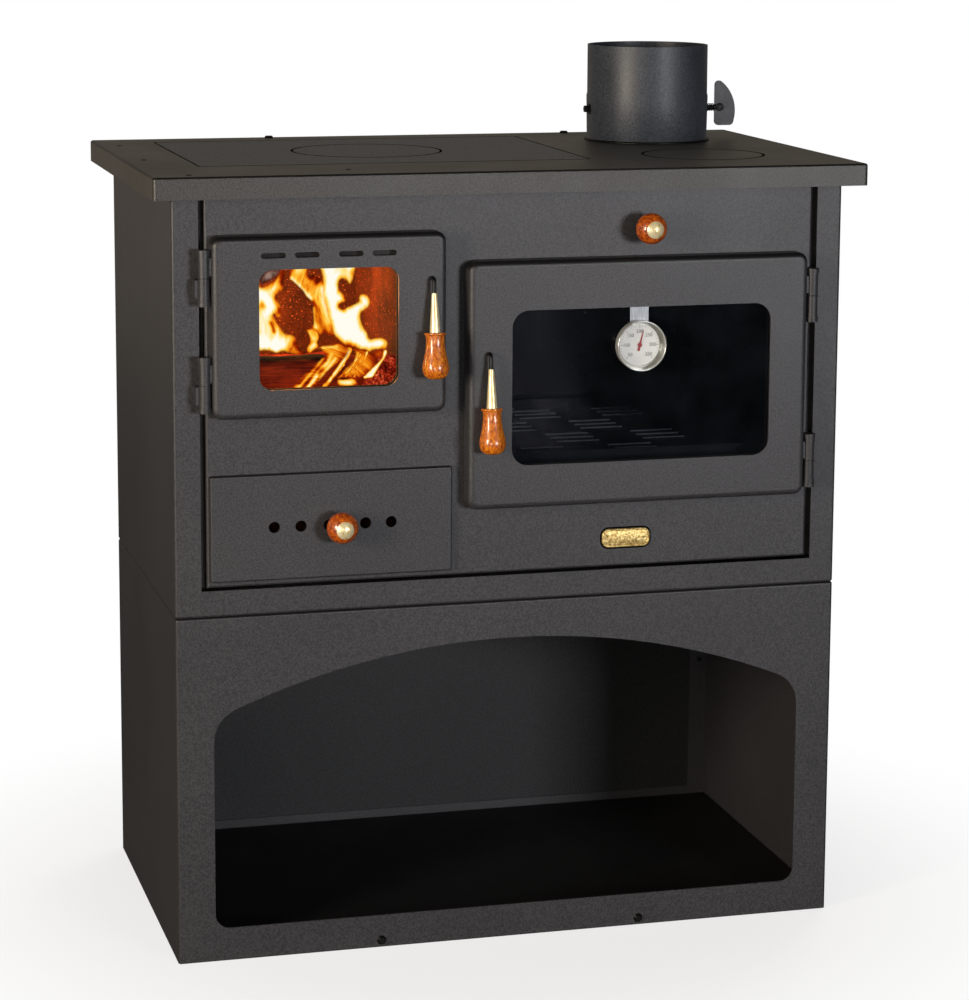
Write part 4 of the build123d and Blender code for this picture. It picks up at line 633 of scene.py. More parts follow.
makeGrooveStrips(grooveStrip)

# Painted shade in the joints round the loose plates: thin dark lines laid on the hob, standing for the shadow in the
# narrow gaps.
jointShade = {
    "plate": (-0.2974, 0.1004, -0.1064, 0.1744), "width": 0.0026, "hem": 0.0003, "rise": 0.00012,
    "lid": (-0.0985, 0.034, 0.0764), "cover": (0.231, -0.078, 0.0614), "lineWidth": 0.0022,
}


def makeJointSoot(look):
    # painted shade: a dark line over the plate's joint, and dark rings over the lid's and the cover's joints
    x0, x1, y0, y1 = look["plate"]
    shape = bmesh.new()
    verts = [shape.verts.new((x, y, hobTop)) for x, y in ((x0, y0), (x1, y0), (x1, y1), (x0, y1))]
    face = shape.faces.new(verts)
    bmesh.ops.inset_region(shape, faces=[face], thickness=look["hem"], use_boundary=True)
    bmesh.ops.inset_region(shape, faces=[face], thickness=look["width"] - look["hem"], use_boundary=True)
    bmesh.ops.delete(shape, geom=[face], context="FACES")
    made = bmesh.ops.extrude_face_region(shape, geom=shape.faces[:])["geom"]
    bmesh.ops.translate(shape, vec=(0, 0, look["rise"]), verts=onlyVerts(made))
    # each side moves out by half the line's width, so that the inner edge stays over the joint
    wider = ((x1 - x0 + look["width"]) / (x1 - x0), (y1 - y0 + look["width"]) / (y1 - y0), 1.0)
    bmesh.ops.scale(shape, vec=wider, space=Matrix.Translation((-(x0 + x1) / 2, -(y0 + y1) / 2, 0.0)),
                    verts=shape.verts[:])
    bmesh.ops.recalc_face_normals(shape, faces=shape.faces[:])
    newPiece("plateJointShade", shape, "stove", jointBlack, smooth=False)
    rings = (("lidJointShade", "hotplate", look["lid"]), ("coverJointShade", "stove", look["cover"]))
    for name, body, (cx, cy, radius) in rings:
        outer = radius + look["lineWidth"]
        section = [(radius, 0.0), (outer, 0.0), (outer, look["rise"]), (radius, look["rise"])]
        ring = spinProfile(section, Vector((cx, cy, hobTop)), Vector((0.0, 0.0, 1.0)), 128)
        newPiece(name, ring, body, jointBlack, smooth=False)


makeJointSoot(jointShade)

# Four small peened plugs in the hob's sheet, flush and dark, where the frame below is held.
hobPlugs = {
    "places": [(-0.34, 0.14), (-0.34, -0.027), (-0.162, -0.165), (-0.3225, -0.192)],
    "radius": 0.0030, "taper": 0.8, "rise": 0.0003,
}


def makeHobPlugs(look):
    shape = bmesh.new()
    for x, y in look["places"]:
        bmesh.ops.create_cone(shape, cap_ends=True, segments=20, radius1=look["radius"],
                              radius2=look["radius"] * look["taper"], depth=look["rise"],
                              matrix=Matrix.Translation((x, y, hobTop + look["rise"] / 2)))
    newPiece("hobPlugs", shape, "stove", jointBlack, smooth=False)


makeHobPlugs(hobPlugs)
print("collar, damper fittings, groove strips and joint lines made")

# Thermometer: rolled bright rim, and a dial printed in grey with plain numbers.
dial = {
    "centre": (0.122, 0.605), "face": -0.2104, "print": 0.00006,
    "rimInner": 0.0236, "rimOuter": 0.0252, "rimFront": -0.2197, "rimBack": -0.2180,
    "tickOuter": 0.0197, "longTick": 0.0026, "shortTick": 0.0014, "longWidth": 0.00042, "shortWidth": 0.00026,
    "numberRadius": 0.0136, "numberSize": 0.0050, "numbers": (50, 100, 150, 200, 250, 300, 350), "span": 270.0,
    "sides": 10, "rimLean": 0.35, "partTicks": 5,
}


def makeDial(look):
    cx, cz = look["centre"]
    centre = Vector((cx, look["rimBack"], cz))
    forward = Vector((0.0, -1.0, 0.0))
    depth = look["rimBack"] - look["rimFront"]
    middle, half = (look["rimInner"] + look["rimOuter"]) / 2, (look["rimOuter"] - look["rimInner"]) / 2
    lean = look["rimLean"]
    arc = [math.pi * i / look["sides"] for i in range(look["sides"] + 1)]
    section = [(look["rimInner"], 0.0)]
    section += [(middle - half * math.cos(a), depth * (lean + (1 - lean) * math.sin(a))) for a in arc]
    section.append((look["rimOuter"], 0.0))
    newPiece("thermometerRim", spinProfile(section, centre, forward), "oven_door", cupSteel,
             crease=50)
    # a long tick at each number, and a short one at each fifth part of a number's step
    ink = bmesh.new()
    depthAt = look["face"] - look["print"] / 2
    steps = (len(look["numbers"]) - 1) * look["partTicks"]
    for i in range(steps + 1):
        angle = math.radians(-look["span"] / 2 + look["span"] * i / steps)
        kind = "long" if i % look["partTicks"] == 0 else "short"
        length, width = look[kind + "Tick"], look[kind + "Width"]
        turn = Matrix.Translation((cx, depthAt, cz)) @ Matrix.Rotation(angle, 4, "Y")
        size = Matrix.Diagonal((width, look["print"], length, 1.0))
        raised = Matrix.Translation((0, 0, look["tickOuter"] - length / 2))
        bmesh.ops.create_cube(ink, size=1.0, matrix=turn @ raised @ size)
    newPiece("dialTicks", ink, "oven_door", inkGrey, smooth=False)
    words = bmesh.new()
    for i, number in enumerate(look["numbers"]):
        angle = math.radians(-look["span"] / 2 + look["span"] * i / (len(look["numbers"]) - 1))
        curve = bpy.data.curves.new("number%d" % number, "FONT")
        curve.body = str(number)
        curve.size = look["numberSize"]
        curve.align_x, curve.align_y = "CENTER", "CENTER"
        curve.extrude = look["print"] / 2
        curve.resolution_u = 3
        flat = meshOfCurve("number%d" % number, curve)
        place = Matrix.Translation((cx + look["numberRadius"] * math.sin(angle), depthAt,
                                    cz + look["numberRadius"] * math.cos(angle)))
        flat.transform(place @ Matrix.Rotation(math.radians(90), 4, "X"))
        words.from_mesh(flat)
        bpy.data.meshes.remove(flat)
    newPiece("dialNumbers", words, "oven_door", inkGrey, smooth=False)


makeDial(dial)

# The plaque as cast: round-cornered, a raised bead round a sunk blank field; the dark line round it on the panel is
# painted shade, for the shadow in a pressed recess.
badge = {
    "centre": (0.1162, 0.4070), "half": (0.0249, 0.0094), "corner": 0.0068, "back": -0.1910, "sides": 10,
    "rings": [(0.0, 0.0), (0.0, 0.0015), (0.0005, 0.0022), (0.0012, 0.0025), (0.0019, 0.0022), (0.0023, 0.0013)],
    "shadeLineWidth": 0.0017, "shadeLineRise": 0.0001, "shadeLineInset": 0.0002, "fieldHem": 0.004, "bulge": 0.0005,
}


def roundedOutline(look, inset):
    # corner arcs of the plaque's outline, drawn in by inset
    cx, cz = look["centre"]
    width, height = look["half"]
    radius = max(look["corner"] - inset, 0.0004)
    outline = []
    for sx, sz, start in ((1, 1, 0), (-1, 1, 90), (-1, -1, 180), (1, -1, 270)):
        for i in range(look["sides"] + 1):
            angle = math.radians(start + 90 * i / look["sides"])
            outline.append((cx + sx * (width - look["corner"]) + radius * math.cos(angle),
                            cz + sz * (height - look["corner"]) + radius * math.sin(angle)))
    return outline


def outlineRows(shape, look, rings):
    return [[shape.verts.new((x, look["back"] - rise, z)) for x, z in roundedOutline(look, inset)]
            for inset, rise in rings]


def bridgeRows(shape, rows, closed=False):
    # each row is a ring of points, and the next row's ring is joined to it by quads
    count = len(rows[0])
    for outer, inner in zip(rows, rows[1:] + (rows[:1] if closed else [])):
        for i in range(count):
            shape.faces.new((outer[i], outer[(i + 1) % count], inner[(i + 1) % count], inner[i]))


def makeBadge(look):
    shape = bmesh.new()
    rows = outlineRows(shape, look, look["rings"])
    bridgeRows(shape, rows)
    shape.faces.new(rows[0])
    field = shape.faces.new(rows[-1])
    bmesh.ops.recalc_face_normals(shape, faces=shape.faces[:])
    bmesh.ops.inset_region(shape, faces=[field], thickness=look["fieldHem"], use_boundary=True)
    bmesh.ops.translate(shape, vec=(0, -look["bulge"], 0), verts=field.verts[:])
    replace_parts(newPiece("castBadge", shape, "stove", plaqueBrass, crease=50), "badge_plate")
    # painted shade: a flat dark ring lying on the panel round the plaque
    shadeRing = bmesh.new()
    near, far, rise = look["shadeLineInset"], -look["shadeLineWidth"], look["shadeLineRise"]
    bridgeRows(shadeRing, outlineRows(shadeRing, look, ((near, 0.0), (far, 0.0), (far, rise), (near, rise))), closed=True)
    bmesh.ops.recalc_face_normals(shadeRing, faces=shadeRing.faces[:])
    newPiece("badgeShadeLine", shadeRing, "stove", jointBlack, smooth=False)


makeBadge(badge)

# Lips along the tray's slots, finished near white: painted highlight on the pressed edges.
trayLips = {
    "length": 0.052, "wide": 0.0012, "rise": 0.0013, "top": 0.48502, "columnPitch": 0.093, "rowPitch": 0.021,
    "groupPitch": 0.070, "slotWidth": 0.006, "x": (-0.0385, 0.285), "y": (-0.175, 0.125), "bevel": 0.00015,
}


def makeTrayLips(look):
    shape = bmesh.new()
    x0, x1 = look["x"]
    y0, y1 = look["y"]
    columns = int((x1 - x0 - look["length"]) // look["columnPitch"])
    for group, stagger in ((-1.5, 0), (-0.5, 0.5), (0.5, 0), (1.5, 0.5)):
        groupX = (x0 + x1) / 2 + stagger * look["columnPitch"] - look["columnPitch"] / 4
        groupY = (y0 + y1) / 2 + group * look["groupPitch"]
        for column in range(columns):
            for row in (-1, 0, 1):
                x = groupX + (column - (columns - 1) / 2) * look["columnPitch"]
                y = groupY + row * look["rowPitch"] + look["slotWidth"] / 2 + look["wide"] / 2
                size = Matrix.Diagonal((look["length"] - look["slotWidth"], look["wide"], look["rise"], 1.0))
                place = Matrix.Translation((x, y, look["top"] + look["rise"] / 2))
                bmesh.ops.create_cube(shape, size=1.0, matrix=place @ size)
    bevelEdges(shape, shape.edges[:], look["bevel"], 1)
    newPiece("trayHighlightLips", shape, "stove", lipHighlight, smooth=False)


makeTrayLips(trayLips)
print("dial print and tray lips made")


# ---- fire on the grate

# Flames are glowing gas: white-yellow where they are thick, orange and see-through at their edges.
flameLook = {
    "stops": [(0.0, "5c1202"), (0.16, "a83004"), (0.32, "ee8810"), (0.5, "fcc43c"), (0.68, "ffea98"),
              (0.9, "ffffff")],
    "glow": 1.15, "streakMm": 5.0, "streak": 0.15, "length": 3.6,
}


def glowingGas(name, look):
    # flameCover is how much a flame hides, flameWarmth its colour, and flameFlow the way that it streams
    material, tree = newFinish(name)
    cover = addNode(tree, "ShaderNodeAttribute", {"attribute_name": "flameCover", "attribute_type": "GEOMETRY"})
    warmth = addNode(tree, "ShaderNodeAttribute", {"attribute_name": "flameWarmth", "attribute_type": "GEOMETRY"})
    flow = addNode(tree, "ShaderNodeAttribute", {"attribute_name": "flameFlow", "attribute_type": "GEOMETRY"})
    across = 1.0 / look["streakMm"]
    drawn = addNode(tree, "ShaderNodeMapping", {"vector_type": "POINT"}, {
        "Scale": (across, across / look["length"], across)}, {"Vector": flow.outputs["Vector"]})
    swirl = addNode(tree, "ShaderNodeTexNoise", values={
        "Scale": 1.0, "Detail": 3.0, "Roughness": 0.55, "Distortion": 0.7}, links={"Vector": drawn.outputs[0]})
    lick = addNode(tree, "ShaderNodeMapRange", values={
        "From Min": 0.3, "From Max": 0.7, "To Min": -look["streak"], "To Max": look["streak"]},
        links={"Value": swirl.outputs["Fac"]})
    tone = addNode(tree, "ShaderNodeMath", {"operation": "ADD", "use_clamp": True}, links={
        0: warmth.outputs["Fac"], 1: lick.outputs[0]})
    ramp = addNode(tree, "ShaderNodeValToRGB", links={"Fac": tone.outputs[0]})
    setStops(ramp, look["stops"])
    light = addNode(tree, "ShaderNodeEmission", values={"Strength": look["glow"]},
                    links={"Color": ramp.outputs["Color"]})
    air = addNode(tree, "ShaderNodeBsdfTransparent")
    shader = addNode(tree, "ShaderNodeMixShader", links={
        0: cover.outputs["Fac"], 1: air.outputs[0], 2: light.outputs[0]})
    endFinish(tree, shader)
    return material


flameGas = glowingGas("flameGas", flameLook)
# A wreath of smoke under the mouth's top edge, grey-brown and thin; it is drawn glowing, which is painted light for the
# firelight on the smoke.
smokeGas = glowingGas("smokeWreath", {
    "stops": [(0.0, "1a0c0a"), (0.3, "3a2220"), (0.6, "6c5450"), (0.9, "a08a84")],
    "glow": 1.0, "streakMm": 6.0, "streak": 0.3, "length": 2.0})

# Outlines are in millimetres from the window's lower left corner, as seen through the window.
# depth is the flame's y in the firebox, thick its half thickness, soft how far its edge fades and mesh its grid, in mm.
# level is the flame's tone, from dark orange to white, and veil the most that it hides.
# touches brighten or darken the flame along a few points: the points, how far it reaches in mm, and how much.
flames = {
    "leftFlame": {"depth": -20, "thick": 7, "soft": 6.5, "level": 0.74, "veil": 1, "mesh": 1.5,
        "outline": [
            (-2, 102.9), (1.5, 102.6), (4, 99.4), (7.4, 100.7), (12.4, 103.5), (17.3, 107.3), (20.5, 112.1),
            (22.8, 116.9), (26.8, 115.6), (27.5, 109), (26.1, 102.2), (24.3, 95.4), (20.5, 92.6), (18.1, 88.8),
            (20.7, 84.8), (23.1, 79.9), (23.5, 74), (21.5, 69), (17.8, 69.8), (15.9, 72.2), (18.3, 67.3),
            (21.3, 62.4), (24.3, 57.4), (27.3, 53.9), (32.7, 53.3), (37.2, 49.5), (39.7, 43.4), (42.3, 38.4),
            (47.1, 34.9), (48.9, 32.9), (42.1, 31.8), (37.2, 32.5), (34.2, 33.1), (29.2, 34.6), (24.3, 36.2),
            (18.3, 34.4), (12.4, 36.5), (5.5, 37.7), (-2, 37.1)],
        "touches": [
            ([(4.5, 81.3)], 4.2, -0.62), ([(12.9, 64.5), (14.9, 59.6), (15.9, 55.7)], 2, -0.55),
            ([(31.7, 40.6), (34.2, 43.5)], 4.5, -0.5), ([(25.5, 113), (24.8, 104.2)], 3.8, -0.5),
            ([(22.1, 76)], 3.8, -0.4), ([(39.6, 38), (44.1, 34.5)], 3.6, -0.4),
            ([(2.5, 95), (9.4, 86.1), (10.4, 74.3)], 4.5, 0.3),
            ([(1.5, 44.3), (14.4, 42.1), (24.3, 40.8)], 5.9, 0.35)]},
    "topFlame": {"depth": 30, "thick": 6, "soft": 5, "level": 0.44, "veil": 0.97, "mesh": 1.5,
        "outline": [
            (30.7, 106.5), (30, 111.9), (32.4, 116.7), (36.2, 120.5), (42.1, 120.3), (48.6, 119.2), (49.4, 113.3),
            (50.2, 109.2), (54.2, 110.5), (59, 108.4), (63.9, 104.7), (67.9, 93.4), (69.9, 84.5), (71.8, 74.7),
            (73.8, 63), (75.8, 55.1), (73.8, 49.8), (65.9, 51.8), (60, 50.9), (55, 55.5), (50, 57.5), (53.6, 61.5),
            (54, 67.4), (53.2, 75.2), (53, 82), (50, 86), (46.7, 89), (44.1, 93.8), (39.1, 98.8), (34.2, 103.3)],
        "touches": [
            ([(33.4, 106.4), (39.1, 100.7), (46.6, 92.4), (51.5, 86.8)], 2.2, 0.55), ([(49.6, 97.7)], 5, -0.12),
            ([(58, 75.1), (59.5, 67.3), (63.9, 58.4)], 4.8, -0.22), ([(54, 108.8), (58, 103.4)], 4.2, -0.45),
            ([(41.1, 115.5)], 4.5, 0.22), ([(53.8, 77.1), (54.6, 65.4), (56.5, 58.6)], 1.8, 0.4),
            ([(62.9, 96.4), (65.9, 81.7), (69.9, 65)], 4, 0.35), ([(68.9, 55.3)], 4, -0.1)]},
    "mainFlame": {"depth": -5, "thick": 8, "soft": 6, "level": 0.98, "veil": 1, "mesh": 1.5,
        "outline": [
            (59.5, 120.9), (61.4, 113), (62.9, 106.2), (62.9, 96.4), (62.7, 88.6), (64.4, 81.8), (66.4, 74.9),
            (68.9, 67), (71.8, 57.2), (73.8, 51.3), (78.8, 45.3), (83.7, 41.1), (89.7, 38), (95.6, 37.3),
            (99.6, 35.2), (104.6, 34.7), (110, 32.2), (112.5, 34), (119.4, 34.8), (125.6, 34.8), (128, 40),
            (126.8, 44.3), (123.4, 46.5), (115.5, 47), (110, 46.5), (107.5, 52.4), (104.1, 57.4), (101.6, 64.3),
            (101.6, 71.1), (104.7, 73.7), (108.2, 76.3), (110.7, 81.6), (110, 85.5), (105.7, 89.7), (101.1, 90.2),
            (98.5, 87.2), (98.1, 82.9), (93.6, 80.5), (87.7, 78.2), (82.7, 76.2), (80.1, 78.2), (81.8, 80.8),
            (86.2, 82.2), (86.9, 87), (83.7, 91), (80.8, 94), (79.6, 100.9), (81.8, 104.4), (86.2, 103.3),
            (89.7, 99.1), (92.9, 102.5), (94.8, 109.3), (95.4, 120)],
        "touches": [
            ([(83.7, 113.4), (89.7, 111.3)], 5, -0.3), ([(84.2, 86.1)], 3.4, -0.32),
            ([(81.8, 99.8), (82.3, 95.9)], 2.6, -0.3), ([(80.8, 79.4)], 2.6, -0.35),
            ([(88.7, 42.1), (93.6, 40.1)], 4, -0.3), ([(124.4, 37.4)], 3, -0.2)]},
    "wispFlame": {"depth": 12, "thick": 4, "soft": 3, "level": 0.42, "veil": 0.92, "mesh": 1.2,
        "outline": [
            (41.9, 65.9), (44.1, 61.8), (48.1, 57.6), (52, 58.7), (55.2, 57.6), (59.5, 53.6), (60.4, 48.7),
            (58.2, 43.9), (59.4, 40), (54.2, 36), (50.5, 33.6), (47.9, 35.2), (47.4, 38.3), (49.4, 43.1), (50, 49),
            (48.4, 53.7), (44.9, 57.9), (42.9, 61.8)],
        "touches": [
            ([(50, 53.8), (54, 47.9)], 2.4, 0.3), ([(51.5, 40.2), (54, 42)], 2.2, 0.3)]},
    "sweepBand": {"depth": -98, "thick": 4, "soft": 6, "level": 0.38, "veil": 0.85, "mesh": 1.2,
        "outline": [
            (78.8, 44.1), (88.7, 38.4), (90.5, 35.3), (89.4, 31.2), (86.7, 27.4), (82, 23.6), (76, 20.3),
            (70.1, 16.1), (65.1, 11.5), (61.1, 7.5), (58.2, 3.7), (54.2, -0.1), (50, -4.2), (26.4, -3.8),
            (32.4, 1.4), (38.2, 8.1), (43.0, 12.4), (48.4, 17.2), (53.8, 21.8), (58.6, 25.8), (62.4, 29.4),
            (64.5, 31.9), (62.9, 34.6), (61.9, 36.3), (58.8, 39), (61.9, 41.1), (67.9, 41.5), (73.8, 42.3)],
        "touches": [
            ([(71.8, 31.8), (67.9, 24.1), (59, 16.6), (54, 8.9), (50, 2.2)], 1.6, 0.26),
            ([(75.8, 27.8), (69.9, 20.2), (63.9, 13.5), (60, 6.8)], 1.2, 0.34),
            ([(62.0, 27.0), (54.5, 18.6), (46.5, 9.4), (38.5, 0.2)], 1.5, 0.24),
            ([(66.5, 26.8), (58.6, 17.8), (50.2, 8.0), (43.4, 0.0)], 1.9, -0.3),
            ([(57.2, 22.4), (49.0, 13.8), (40.5, 4.4)], 1.4, -0.22),
            ([(62.9, 38.9), (69.9, 39.2), (76.8, 39.5)], 1.6, 0.35), ([(83.7, 34.5), (81.8, 28.7)], 4, -0.12),
            ([(58, 11.7), (53, 5), (46.1, -1.6)], 1.3, 0.35), ([(63.9, 19.4), (58, 12.7)], 1.4, -0.25),
            ([(79.8, 23.8), (71.8, 17.2)], 1.2, -0.2)]},
    "sweepVeil": {"depth": -99, "thick": 3, "soft": 6, "level": 0.3, "veil": 0.9, "mesh": 1.5,
        "outline": [
            (92.2, 37), (94.8, 32.2), (93.8, 26.4), (89.9, 21.6), (83.9, 16.9), (80, 12.1), (77, 8.5), (83.7, 8.1),
            (89.7, 7.5), (94.6, 7.9), (101.6, 8.2), (108.5, 12.4), (113.5, 17.6), (117.9, 22.9), (122.4, 28.1),
            (124.4, 33.9), (118.4, 35.6), (111.5, 33.3), (105.5, 35.4), (99.6, 37)],
        "touches": [
            ([(97.6, 31.2), (93.6, 22.5), (86.7, 14.9)], 2.6, 0.25), ([(113.5, 26.9)], 5, -0.2),
            ([(87.7, 25.6), (83.7, 19.8)], 3, 0.05)]},
    "strandFive": {"depth": -101, "thick": 1.6, "soft": 1.6, "level": 0.42, "veil": 0.9, "mesh": 0.8,
        "outline": [
            (86.8, 38.2), (92.2, 37.4), (90.2, 30.4), (86.2, 23.4), (81.2, 16.6), (76.0, 10.4), (71.4, 4.8),
            (67.6, 0.4), (61.8, 0.2), (66.4, 6.0), (71.4, 12.2), (76.4, 18.6), (81.0, 25.4), (84.8, 32.0)],
        "touches": [
            ([(88.6, 34.4), (85.4, 27.4), (80.2, 20.0), (74.6, 12.8), (69.4, 6.0)], 1.0, 0.3)]},
    "strandOne": {"depth": -104, "thick": 1.2, "soft": 1.1, "level": 0.55, "veil": 0.9, "mesh": 0.8,
        "outline": [
            (106.3, 33.9), (107.8, 33.7), (106.5, 28.5), (102.8, 22.3), (98.8, 16.5), (96.2, 11.2), (94.8, 8.3),
            (93.3, 8.3), (94.4, 11.8), (97.2, 17.1), (101, 22.7), (104.7, 28.6)]},
    "strandTwo": {"depth": -105, "thick": 1.2, "soft": 1.1, "level": 0.5, "veil": 0.9, "mesh": 0.8,
        "outline": [
            (97.2, 28.3), (98.2, 27.5), (93.6, 21.7), (88.5, 16.6), (83.7, 12), (80, 8.6), (77.8, 8.3),
            (78.8, 9.4), (82.7, 13), (87.5, 17.8), (92.5, 22.8)]},
    "strandThree": {"depth": -105, "thick": 1, "soft": 0.9, "level": 0.52, "veil": 0.9, "mesh": 0.8,
        "outline": [
            (84.2, 22.6), (85.2, 21.8), (82.7, 18.4), (79.8, 15.1), (78.6, 15.3), (81.4, 19.3)]},
    "strandFour": {"depth": -103, "thick": 1.2, "soft": 1.3, "level": 0.4, "veil": 0.85, "mesh": 0.8,
        "outline": [
            (99.8, 33.1), (101.8, 32.6), (99.8, 26.3), (96, 19.7), (91.5, 14.2), (86.7, 9.2), (84.5, 8.7),
            (88.7, 14.3), (93.6, 20.6), (97.8, 26.8)]},
    "rightLoop": {"depth": -104, "thick": 2, "soft": 2, "level": 0.85, "veil": 1, "mesh": 0.8,
        "outline": [
            (124, 34.6), (126.7, 34.2), (124.8, 26.6), (120.8, 20.7), (118, 16.1), (115.5, 12), (112.7, 8.2),
            (108.5, 7.2), (102.8, 8), (105.5, 11), (108.7, 14.3), (112.7, 18), (117.4, 22.2), (121.6, 27.1)]},
    "bottomGlow": {"depth": -103, "thick": 4, "soft": 3, "level": 0.55, "veil": 0.95, "mesh": 1.2,
        "outline": [
            (77, 6.6), (83.7, 7.2), (93.6, 8.2), (102.6, 8.7), (105.3, 6.1), (102.1, 1.6), (93.6, 0.4), (83.7, 0),
            (78, 1.7)],
        "touches": [
            ([(98.6, 4.7), (102.6, 5.2)], 3.4, -0.55), ([(81.8, 4.3), (89.7, 4.1)], 3, 0.2)]},
}
# painted light: a glowing grey patch for firelit smoke, with a lighter streak
smokePatch = {"depth": -150, "thick": 2, "soft": 6, "level": 0.55, "veil": 0.7, "mesh": 1.5,
    "outline": [
        (0.7, 106.3), (2.3, 111.6), (6.2, 115.6), (12.4, 117.6), (19.3, 117.4), (23.3, 116.1), (21.1, 112.1),
        (17.5, 107.7), (12.4, 103.9), (7.2, 101.3), (3.7, 99.8), (1.5, 102.8)],
    "touches": [([(10, 108), (20, 113)], 5, 0.3)]}
# flames that sweep down past the front log stream towards one point: its place in millimetres, and the degrees
# that a stream has turned 100 mm away from it
sweep = {"names": ["sweepBand", "sweepVeil", "bottomGlow"], "foot": (-20, -42), "turn": 34.0}
fireWindow = {"left": -0.2593, "bottom": 0.5735, "plane": -0.2035}
# how every flame is drawn: how fast it turns solid from its edge, the tone left at its edge, its hottest tone,
# and its sway in depth and the curl of its streaks, both as (mm to either side, mm of a wave)
flameForm = {"solid": 1.9, "edgeTone": 0.28, "hottest": 1.1, "sway": (5.0, 17.0), "swayFrom": 3, "curl": (4.0, 11),
             "turnMm": 90}


def alongSight(x, z, depth):
    # the point at this depth that the photograph's eye sees at millimetres x, z of the window
    eye = Vector(cameraFit["place"])
    window = Vector((fireWindow["left"] + x / 1000, fireWindow["plane"], fireWindow["bottom"] + z / 1000))
    return eye + (window - eye) * ((depth - eye.y) / (window.y - eye.y))


def lineDistance(point, line, closed=False):
    # least distance from a flat point to a run of flat points
    if len(line) == 1:
        return (point - line[0]).length
    best = 1e9
    for a, b in zip(line, line[1:] + (line[:1] if closed else [])):
        run = b - a
        share = max(0.0, min(1.0, (point - a).dot(run) / max(run.length_squared, 1e-12)))
        best = min(best, (point - a - run * share).length)
    return best


def smoothOutline(name, points):
    # a smooth closed curve through the given points, as a ring of edges
    curve = bpy.data.curves.new(name + "Outline", "CURVE")
    curve.dimensions = "2D"
    curve.fill_mode = "NONE"
    spline = curve.splines.new("BEZIER")
    spline.bezier_points.add(len(points) - 1)
    for knot, (x, z) in zip(spline.bezier_points, points):
        knot.co = (x, z, 0.0)
        knot.handle_left_type = knot.handle_right_type = "AUTO"
    spline.use_cyclic_u = True
    spline.resolution_u = 5
    outline = meshOfCurve(name + "Outline", curve)
    shape = bmesh.new()
    shape.from_mesh(outline)
    bpy.data.meshes.remove(outline)
    bmesh.ops.remove_doubles(shape, verts=shape.verts, dist=0.05)
    start = shape.verts[:][0]
    ring, last, here = [start.co.xy.copy()], None, start
    while True:
        onward = [e.other_vert(here) for e in here.link_edges if e.other_vert(here) is not last]
        last, here = here, onward[0]
        if here is start:
            break
        ring.append(here.co.xy.copy())
    return shape, ring


def makeFlame(name, look, finish):
    shape, ring = smoothOutline(name, look["outline"])
    bmesh.ops.triangle_fill(shape, edges=shape.edges[:], use_beauty=True)
    for axis in (0, 1):
        values = [v.co[axis] for v in shape.verts]
        cut = min(values) + look["mesh"]
        while cut < max(values):
            normal = Vector((1.0, 0.0, 0.0)) if axis == 0 else Vector((0.0, 1.0, 0.0))
            bmesh.ops.bisect_plane(shape, geom=wholeShape(shape), dist=1e-4, plane_co=normal * cut,
                                   plane_no=normal)
            cut += look["mesh"]
    bmesh.ops.triangulate(shape, faces=shape.faces[:])
    cover = shape.verts.layers.float.new("flameCover")
    warmth = shape.verts.layers.float.new("flameWarmth")
    flow = shape.verts.layers.float_vector.new("flameFlow")
    (sway, swayWave), (curl, curlWave) = flameForm["sway"], flameForm["curl"]
    low = flameForm["edgeTone"]
    touches = [([Vector(p) for p in points], reach, gain) for points, reach, gain in look.get("touches", [])]
    for v in shape.verts:
        place = v.co.xy.copy()
        edge = min(1.0, lineDistance(place, ring, closed=True) / look["soft"])
        opaque = min(1.0, edge * flameForm["solid"])
        tone = look["level"] * (low + (1 - low) * edge)
        for points, reach, gain in touches:
            tone += gain * math.exp(-(lineDistance(place, points) / reach) ** 2)
        v[cover] = look["veil"] * opaque * opaque * (3 - 2 * opaque)
        v[warmth] = max(0.0, min(flameForm["hottest"], tone))
        if name in sweep["names"]:
            away = place - Vector(sweep["foot"])
            bend = math.atan2(away.y, away.x) + math.radians(sweep["turn"]) * (away.length / 100) ** 2
            v[flow] = (bend * flameForm["turnMm"], away.length, look["depth"])
        else:
            v[flow] = (place.x + curl * math.sin(place.y / curlWave), place.y, look["depth"])
    back = bmesh.ops.duplicate(shape, geom=wholeShape(shape))["geom"]
    backVerts = set(onlyVerts(back))
    bmesh.ops.reverse_faces(shape, faces=[g for g in back if isinstance(g, bmesh.types.BMFace)])
    for v in shape.verts:
        bulge = look["thick"] * math.sqrt(max(v[cover], 0.0)) / 1000
        drift = 0.0
        if look["thick"] > flameForm["swayFrom"]:
            drift = sway * math.sin(v.co.y / swayWave + look["depth"]) / 1000
        v.co = alongSight(v.co.x, v.co.y, look["depth"] / 1000 + drift + (bulge if v in backVerts else -bulge))
    bmesh.ops.remove_doubles(shape, verts=shape.verts, dist=1e-5)
    bmesh.ops.recalc_face_normals(shape, faces=shape.faces[:])
    piece = newPiece(name, shape, "stove", finish)
    piece.visible_shadow = False


for flameName, flame in flames.items():
    makeFlame(flameName, flame, flameGas)
makeFlame("smokePatch", smokePatch, smokeGas)
print("flames made:", len(flames))

# A split log and round wood, burning: charred crust on top, red-brown grain below, and the wood glows in its own
# colour, which is painted light for the firelight on it.
logLook = {"char": "120605", "grain": "5a160a", "hot": "9c3418", "grainMm": (1.3, 60.0), "patchMm": 22.0,
           "barkMm": 1.2, "glow": 0.55, "ragged": 0.012, "charFrom": 0.5745, "charTo": 0.5815}
# Glowing coals: grey-black skins with red-hot cracks.
coalLook = {"skin": "240806", "dull": "8a1c0c", "hot": "e0482a", "white": "ffb070", "flakeMm": 3.2,
            "patchMm": 28.0}


